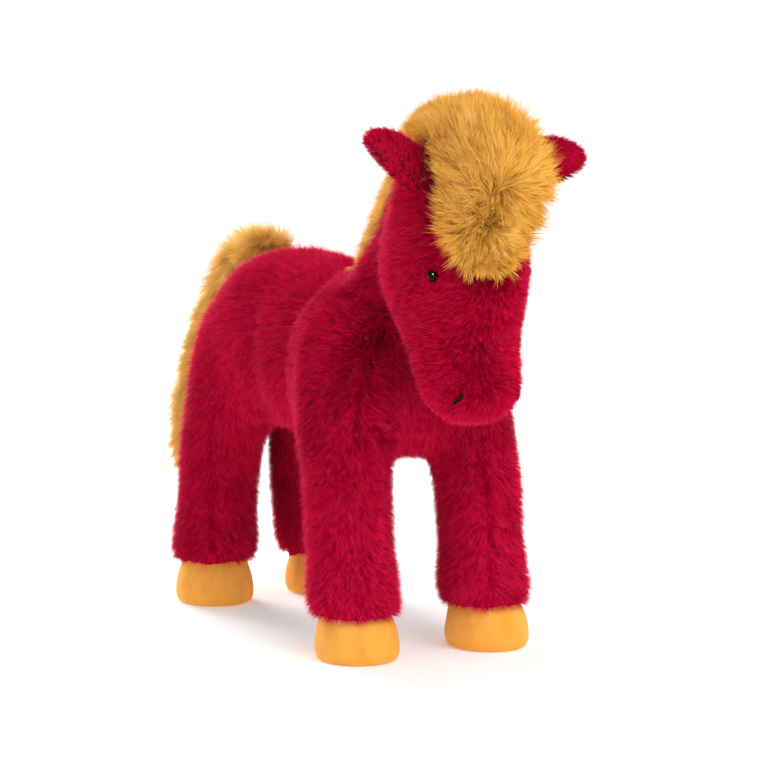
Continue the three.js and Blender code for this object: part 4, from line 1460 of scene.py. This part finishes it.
@dataclass
class Ear:
    """One ear: two layers of cloth that bend at their sewn root, with a shorter pile."""

    side: str
    body: Body
    # Tone of the ear's pile; the two ears get different tones as painted shade and painted light.
    tone: float
    seed: int
    voxel: float = 1.5 * MM
    depth: float = 1.2 * MM
    bend: tuple[float, float] = (-0.05, 0.3)
    pile: Cut = Cut(
        length=4.0 * MM,
        rise=(42.0, 30.0),
        density=1_150_000.0,
        ribbons=6,
        width=0.36 * MM,
        reach=0.7 * MM,
        tuft=0.1,
        stray=(14.0, 10.0),
        top=0.8,
    )

    def build(self, cloth: bpy.types.Material, finish: bpy.types.Material) -> None:
        """Builds the ear's cloth and pile, leaves both on no body and bakes their places in."""
        layers = [f"ear_{self.side}_front_layer", f"ear_{self.side}_back_layer"]
        piece = cloth_form(f"{self.side}_ear_cloth", layers, self.voxel, 4)
        set_points(piece.data, points_of(piece.data) - normals_of(piece.data) * self.depth)
        subdivide(piece)
        joint = next(j for j in frame["joints"] if j["child"] == self.body.value)
        root = Vector(joint["pos_m"])
        places = points_of(piece.data)
        tip = Vector(places[np.argmax(np.linalg.norm(places - np.array(root), axis=1))])
        rng = np.random.default_rng(self.seed)
        roots = Ground.of(piece).scatter(self.pile.density, rng)
        flow = np.tile(np.array((tip - root).normalized()), (len(roots.places), 1))
        tone = self.tone + 0.08 * drifts(roots.places, 14 * MM, 8) + rng.normal(0, 0.05, len(flow))
        growth = growth_of(self.pile, roots, flow, np.ones(len(flow)), tone, 33)
        dress(piece, cloth, None, layers)
        for part in [piece, *pile_pieces(f"{self.side}_ear_pile", growth, finish)]:
            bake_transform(part)


# Long gold pile


@dataclass
class LongPile:
    """A tuft or strip of long gold pile: its cloth and filling as a padded form, and the pile on it.

    Factors on the pile's length: under where it faces down, crown at the top, and no less than shortest
    where the form is thin. A bulge is a place, its reach and its height. Between the two shares of its
    length in tucked, from the front, the side that is sewn on starts to reach into the cloth below.
    """

    name: str
    nodes: tuple[str, ...]
    flow: Callable[[np.ndarray, np.ndarray], np.ndarray]
    pile: Cut
    seed: int
    depth: float = 5.0 * MM
    voxel: float = 2.8 * MM
    against: tuple[str, ...] = ()
    lean: Vector = Vector()
    # Tone of the pile; mane and tail are set lighter than the forelock as painted light.
    tone: float = 0.5
    under: float = 1.0
    crown: float = 1.0
    shortest: float = 0.5
    tuck: float = 3.5 * MM
    tucked: tuple[float, float] = (2.0, 3.0)
    bulges: tuple[tuple[Vector, float, float], ...] = ()
    bend: tuple[Body, Body, Vector, Vector] | None = None

    def build(self, cloth: bpy.types.Material, finish: bpy.types.Material) -> None:
        """Builds the form and its pile, and rides both on the horse, or, where there is a bend, leaves both
        on no body with their places baked in.
        """
        piece = cloth_form(f"{self.name}_cloth", self.nodes, self.voxel, 5)
        self.shape(piece.data)
        subdivide(piece)
        growth = self.growth(Ground.of(piece, ("sunk",)))
        piece.data.attributes.remove(piece.data.attributes["sunk"])
        dress(piece, cloth, None if self.bend else Body.HORSE, self.nodes)
        parts = pile_pieces(f"{self.name}_pile", growth, finish)
        for part in [piece, *parts] if self.bend else parts:
            if self.bend:
                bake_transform(part)
            else:
                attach(part, Body.HORSE.value)

    def shape(self, mesh: bpy.types.Mesh) -> None:
        """Sinks the form to where the pile is rooted, and leans, bulges and tucks it."""
        places, normals = points_of(mesh), normals_of(mesh)
        low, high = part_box(self.nodes[0])
        lower = smooth_step(-0.55, -0.2, -(places[:, 2] - low.z) / (high.z - low.z))
        depth = self.sink_of(mesh)
        sewn = self.sewn_share(places, normals)
        sewn *= smooth_step(*self.tucked, (places[:, 1] - low.y) / (high.y - low.y))
        push = self.tuck * sewn - depth * (1 - sewn)
        for place, reach, height in self.bulges:
            push += height * np.exp(-((places - np.array(place)) ** 2).sum(1) / reach**2)
        places += np.outer(lower, self.lean) + normals * push[:, None]
        set_points(mesh, places)
        set_marks(mesh, "sunk", depth / self.depth)

    def growth(self, ground: Ground) -> Growth:
        """Returns the pile that grows on the finished form's cloth."""
        rng = np.random.default_rng(self.seed)
        roots = ground.scatter(self.pile.density, rng)
        if self.against:
            roots = roots.only(self.in_the_open(roots))
        tone = self.tone + 0.13 * drifts(roots.places, 18 * MM, self.seed + 1)
        tone += rng.normal(0, 0.1, len(tone))
        comb = self.flow(roots.places, roots.normals)
        length = np.clip(roots.marks["sunk"], self.shortest, 1.0)
        length *= 1 - (1 - self.under) * smooth_step(0.1, 0.7, -roots.normals[:, 2])
        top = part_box(self.nodes[0])[1].z
        length *= 1 - (1 - self.crown) * smooth_step(-28 * MM, -8 * MM, roots.places[:, 2] - top)
        return growth_of(self.pile, roots, comb, length, tone, self.seed + 2)

    def sink_of(self, mesh: bpy.types.Mesh) -> np.ndarray:
        """Returns how deep each vertex may sink: the depth, or less where the form is thin."""
        tree = tree_over(mesh)
        thick = np.full(len(mesh.vertices), 1.0)
        for vertex in mesh.vertices:
            gap = tree.ray_cast(vertex.co - vertex.normal * 0.1 * MM, -vertex.normal)[3]
            if gap is not None:
                thick[vertex.index] = gap
        return averaged(mesh, np.minimum(self.depth, 0.36 * thick), 6)

    def sewn_share(self, places: np.ndarray, normals: np.ndarray) -> np.ndarray:
        """Returns how far each vertex, from 0 to 1, lies on the side that is sewn to the cloth below."""
        share = np.zeros(len(places))
        if self.against:
            tree = tree_of(self.against)
            found = [tree.find_nearest(Vector(place)) for place in places]
            towards = unit(np.array([f[0] for f in found]) - places)
            gap = np.array([f[3] for f in found])
            share = smooth_step(0.1, 0.6, (towards * normals).sum(1))
            share *= 1 - smooth_step(3 * MM, 8 * MM, gap)
        return share

    def in_the_open(self, roots: Roots) -> np.ndarray:
        """Returns which roots don't face the cloth that the pile is sewn to."""
        tree = tree_of(self.against)
        free = np.ones(len(roots.places), bool)
        for index, (place, up) in enumerate(zip(roots.places, roots.normals, strict=True)):
            hit = tree.ray_cast(Vector(place), Vector(up), 7 * MM)
            free[index] = hit[0] is None
        return free


def forelock_flow(top: Vector, bottom: Vector) -> Callable[[np.ndarray, np.ndarray], np.ndarray]:
    """Returns a comb that runs outwards from the parting between top and bottom."""

    def flow(places: np.ndarray, normals: np.ndarray) -> np.ndarray:
        """Returns the direction away from the parting, stirred a little."""
        line = np.array(bottom - top)
        share = np.clip((places - np.array(top)) @ line / (line @ line), 0, 1)
        away = places - np.array(top) - share[:, None] * line
        away *= 1 / np.maximum(np.linalg.norm(away, axis=1, keepdims=True), 14 * MM)
        return 1.1 * away + 0.45 * stirred(places, 24 * MM, 71) + 0.3 * stirred(places, 9 * MM, 74)

    return flow


def mane_flow(places: np.ndarray, normals: np.ndarray) -> np.ndarray:
    """Returns a comb that parts at the crest and falls backwards to both sides."""
    flow = np.zeros_like(places)
    flow[:, 0] = np.tanh((places[:, 0] - MIDDLE) / (5 * MM))
    flow[:, 1] = 0.55
    flow[:, 2] = -0.5
    return flow + 0.15 * stirred(places, 22 * MM, 81)


def dock_flow(places: np.ndarray, normals: np.ndarray) -> np.ndarray:
    """Returns a comb that parts near the dock's front end and runs forwards and back from there."""
    low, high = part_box("tail_dock")
    parting = low.y + 0.3 * (high.y - low.y)
    flow = np.zeros_like(places)
    flow[:, 1] = 1.1 * np.tanh((places[:, 1] - parting) / (9 * MM))
    flow[:, 2] = 0.1
    return flow + 0.35 * stirred(places, 16 * MM, 91)


def switch_flow(places: np.ndarray, normals: np.ndarray) -> np.ndarray:
    """Returns a comb that hangs down."""
    flow = np.zeros_like(places)
    flow[:, 2] = -1.0
    flow[:, 1] = 0.15 + 1.2 * smooth_step(0.2, 0.9, normals[:, 2])
    return flow + 0.35 * stirred(places, 24 * MM, 96)


# Hooves, eyes and nostrils


@dataclass
class Hoof:
    """One hoof of suede cloth: a wall that swells to the ground, a flat sole and the seam between them."""

    leg: str
    voxel: float = 1.15 * MM
    seam_height: float = 2.6 * MM
    seam_depth: float = 0.45 * MM
    seam_width: float = 0.7 * MM
    ground_reach: float = 6 * MM

    def build(self, suede: bpy.types.Material) -> None:
        """Builds the hoof in one closed form with its sole seam."""
        nodes = [f"{self.leg}_hoof_wall", f"{self.leg}_hoof_sole"]
        piece = cloth_form(f"{self.leg}_hoof", [*nodes, f"{self.leg}_leg_stuffing"], self.voxel, 8)
        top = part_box(nodes[0])[1].z
        with edited(piece.data) as form:
            whole = [*form.verts, *form.edges, *form.faces]
            cut = bmesh.ops.bisect_plane(
                form, geom=whole, plane_co=(0, 0, top), plane_no=(0, 0, 1), clear_outer=True
            )
            rim = [g for g in cut["geom_cut"] if isinstance(g, bmesh.types.BMEdge)]
            bmesh.ops.holes_fill(form, edges=rim)
            bmesh.ops.recalc_face_normals(form, faces=form.faces)
        mesh = piece.data
        places, normals = points_of(mesh), normals_of(mesh)
        dip = self.seam_depth * bell(places[:, 2] - self.seam_height, self.seam_width)
        places[:, :2] -= normals[:, :2] * dip[:, None]
        height = places[:, 2]
        places[:, 2] = np.where(height < self.ground_reach, height - height.min(), height)
        set_points(mesh, places)
        dress(piece, suede, Body.HORSE, nodes)


@dataclass
class Eye:
    """One bead eye: a polished button on its shank."""

    side: str
    radius: float = 3.4 * MM
    shank: tuple[float, float, float] = (0.9 * MM, 6 * MM, 5 * MM)

    def build(self, bead: bpy.types.Material) -> None:
        """Builds a smooth bead where the solid one is, and dresses it."""
        node = f"eye_{self.side}"
        solid = merged_nodes([node])
        outward = 1.0 if self.side == "left" else -1.0
        reach = max(v.co.x * outward for v in solid.verts)
        ball = [v.co for v in solid.verts if v.co.x * outward > reach - self.radius]
        middle = sum(ball, Vector()) / len(ball)
        middle.x = outward * (reach - self.radius)
        low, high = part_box(node)
        middle.y, middle.z = (low.y + high.y) / 2, (low.z + high.z) / 2
        solid.free()
        form = bmesh.new()
        bmesh.ops.create_icosphere(form, subdivisions=4, radius=self.radius)
        bmesh.ops.translate(form, verts=form.verts, vec=middle)
        thick, long, inwards = self.shank
        stem = bmesh.ops.create_cone(
            form, cap_ends=True, segments=24, radius1=thick, radius2=thick, depth=long
        )["verts"]
        turn = Vector((1, 0, 0)).to_track_quat("Z", "Y").to_matrix()
        bmesh.ops.rotate(form, verts=stem, cent=(0, 0, 0), matrix=turn)
        bmesh.ops.translate(form, verts=stem, vec=middle - Vector((outward * inwards, 0, 0)))
        piece = object_from(f"{self.side}_eye_bead", form)
        dress(piece, bead, Body.HORSE, [node])


@dataclass
class Nostril:
    """One nostril: satin stitches of dark thread side by side, drawn tight into the muzzle."""

    side: str
    stitches: int = 11
    thread: float = 0.42 * MM
    proud: float = 0.9 * MM
    steps: int = 6

    def build(self, satin: bpy.types.Material) -> None:
        """Builds the stitches in the solid one's outline, laid on the muzzle's cloth."""
        node = f"nostril_stitch_{self.side}"
        places = points_of(frame["nodes"][node].data)
        middle = places.mean(0)
        _, axes = np.linalg.eigh(np.cov((places - middle).T))
        length, width, thick = (Vector(axes[:, n]) for n in (2, 1, 0))
        if thick.y > 0:
            thick = -thick
        muzzle = tree_over(bpy.data.objects["head_cloth"].data)
        spot, up = muzzle.find_nearest(Vector(middle))[:2]
        half_long, half_wide, half_thick = (
            np.abs((places - middle) @ np.array(axis)).max() for axis in (length, width, thick)
        )
        form = bmesh.new()
        for number in range(self.stitches):
            share = (number + 0.5) / self.stitches * 2 - 1
            span = half_wide * math.sqrt(max(0.05, 1 - share * share))
            centre = spot + up * self.proud + length * (share * half_long)
            ring = bmesh.ops.create_circle(form, segments=8, radius=self.thread)["verts"]
            for index, vertex in enumerate(ring):
                turn = math.tau * index / len(ring)
                vertex.co = centre + length * (math.cos(turn) * self.thread) - width * span
                vertex.co += thick * (math.sin(turn) * self.thread)
            edges = list({e for v in ring for e in v.link_edges})
            for step in range(self.steps):
                fresh, edges = extruded(form, edges)
                angle = math.pi / self.steps
                bow = math.sin(angle * (step + 1)) - math.sin(angle * step)
                move = width * (2 * span / self.steps) + thick * (bow * half_thick * 0.9)
                bmesh.ops.translate(form, verts=fresh, vec=move)
        bmesh.ops.holes_fill(form, edges=[e for e in form.edges if e.is_boundary])
        bmesh.ops.recalc_face_normals(form, faces=form.faces)
        piece = object_from(f"{self.side}_nostril_stitches", form)
        dress(piece, satin, Body.HORSE, [node])


def dress_washers() -> None:
    """Gives the washers inside the head their moulded nylon."""
    nylon = NylonFinish().material()
    for side in ("left", "right"):
        node = frame["nodes"][f"eye_washer_{side}"]
        for held in node.material_slots:
            held.material = nylon


def build_gold(studio: Studio) -> None:
    """Builds the forelock, the mane and the two parts of the tail."""
    cloth, finish = GOLD_BACKING.material(), GOLD_PILE.material()
    tuft = tree_of(["forelock"])
    middle = sum(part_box("forelock"), Vector()) / 2
    top, bottom = (studio.spot(tuft, pixel).lerp(middle, 0.25) for pixel in ((507, 205), (490, 243)))
    corners = [studio.spot(tuft, pixel) for pixel in ((427, 132), (533, 222))]
    head = REGION_PANELS[Region.HEAD] + REGION_PANELS[Region.TORSO]
    long_cut = Cut(
        length=14.5 * MM,
        rise=(66.0, 30.0),
        density=560_000.0,
        ribbons=8,
        width=0.28 * MM,
        reach=1.4 * MM,
        tuft=0.34,
        stray=(24.0, 13.0),
        levels=3,
        droop=0.1,
        uneven=(0.62, 1.3),
        standing=0.2,
    )
    mane_cut = replace(
        long_cut, length=9 * MM, rise=(46.0, 20.0), stray=(12.0, 10.0), tuft=0.25, density=640_000.0
    )
    dock_cut = replace(long_cut, length=13 * MM, rise=(54.0, 28.0))
    tail_cut = replace(long_cut, length=12 * MM, rise=(55.0, 28.0), stray=(14.0, 9.0))
    joints = {j["name"]: Vector(j["pos_m"]) for j in frame["joints"]}
    lift, swing = joints["tail_lift"], joints["tail_swing"]
    bulge = swing + Vector((0, 4, 6)) * MM
    LongPile(
        "forelock",
        ("forelock",),
        forelock_flow(top, bottom),
        long_cut,
        210,
        depth=10.5 * MM,
        tucked=(0.72, 0.95),
        against=head,
        lean=-studio.right * 7 * MM,
        under=0.65,
        bulges=((corners[0], 16 * MM, -3.5 * MM), (corners[1], 14 * MM, -3 * MM)),
    ).build(cloth, finish)
    LongPile(
        "mane",
        ("mane",),
        mane_flow,
        mane_cut,
        220,
        depth=7 * MM,
        against=head,
        tucked=(-1.0, 0.0),
        # Painted light: the mane's pile is toned lighter than the forelock's.
        tone=0.85,
        crown=0.5,
        shortest=0.9,
    ).build(cloth, finish)
    LongPile(
        "dock",
        ("tail_dock",),
        dock_flow,
        dock_cut,
        230,
        depth=5.0 * MM,
        # Painted light: the dock's pile is toned lighter than the forelock's.
        tone=0.98,
        bulges=((bulge, 13 * MM, 4 * MM),),
        bend=(Body.HORSE, Body.DOCK, lift - Vector((0, 6 * MM, 0)), lift + Vector((0, 8 * MM, 0))),
    ).build(cloth, finish)
    LongPile(
        "switch",
        ("tail_switch",),
        switch_flow,
        tail_cut,
        240,
        depth=4.5 * MM,
        # Painted light: the switch's pile is toned lighter than the forelock's.
        tone=0.98,
        bulges=((bulge, 13 * MM, 5 * MM),),
        bend=(Body.DOCK, Body.SWITCH, swing + Vector((0, 0, 6 * MM)), swing - Vector((0, 0, 12 * MM))),
    ).build(cloth, finish)


def main() -> None:
    """Builds every part of the scene in order."""
    logging.basicConfig(level=logging.INFO, format="%(name)s: %(message)s")
    studio = Studio()
    studio.add_camera()
    studio.add_light()
    studio.add_floor()
    Coat(studio).build()
    cloth, finish = COAT_BACKING.material(), COAT_PILE.material()
    # Painted shade and light: the far, left ear's pile is painted darker and the near, right ear's lighter.
    Ear("left", Body.LEFT_EAR, 0.28, 31).build(cloth, finish)
    Ear("right", Body.RIGHT_EAR, 0.75, 32).build(cloth, finish)
    build_gold(studio)
    suede, bead, satin = SuedeFinish().material(), BeadFinish().material(), ThreadFinish().material()
    for leg in LEGS:
        Hoof(leg).build(suede)
    for side in ("left", "right"):
        Eye(side).build(bead)
        Nostril(side).build(satin)
    dress_washers()


if __name__ == "__main__":
    main()
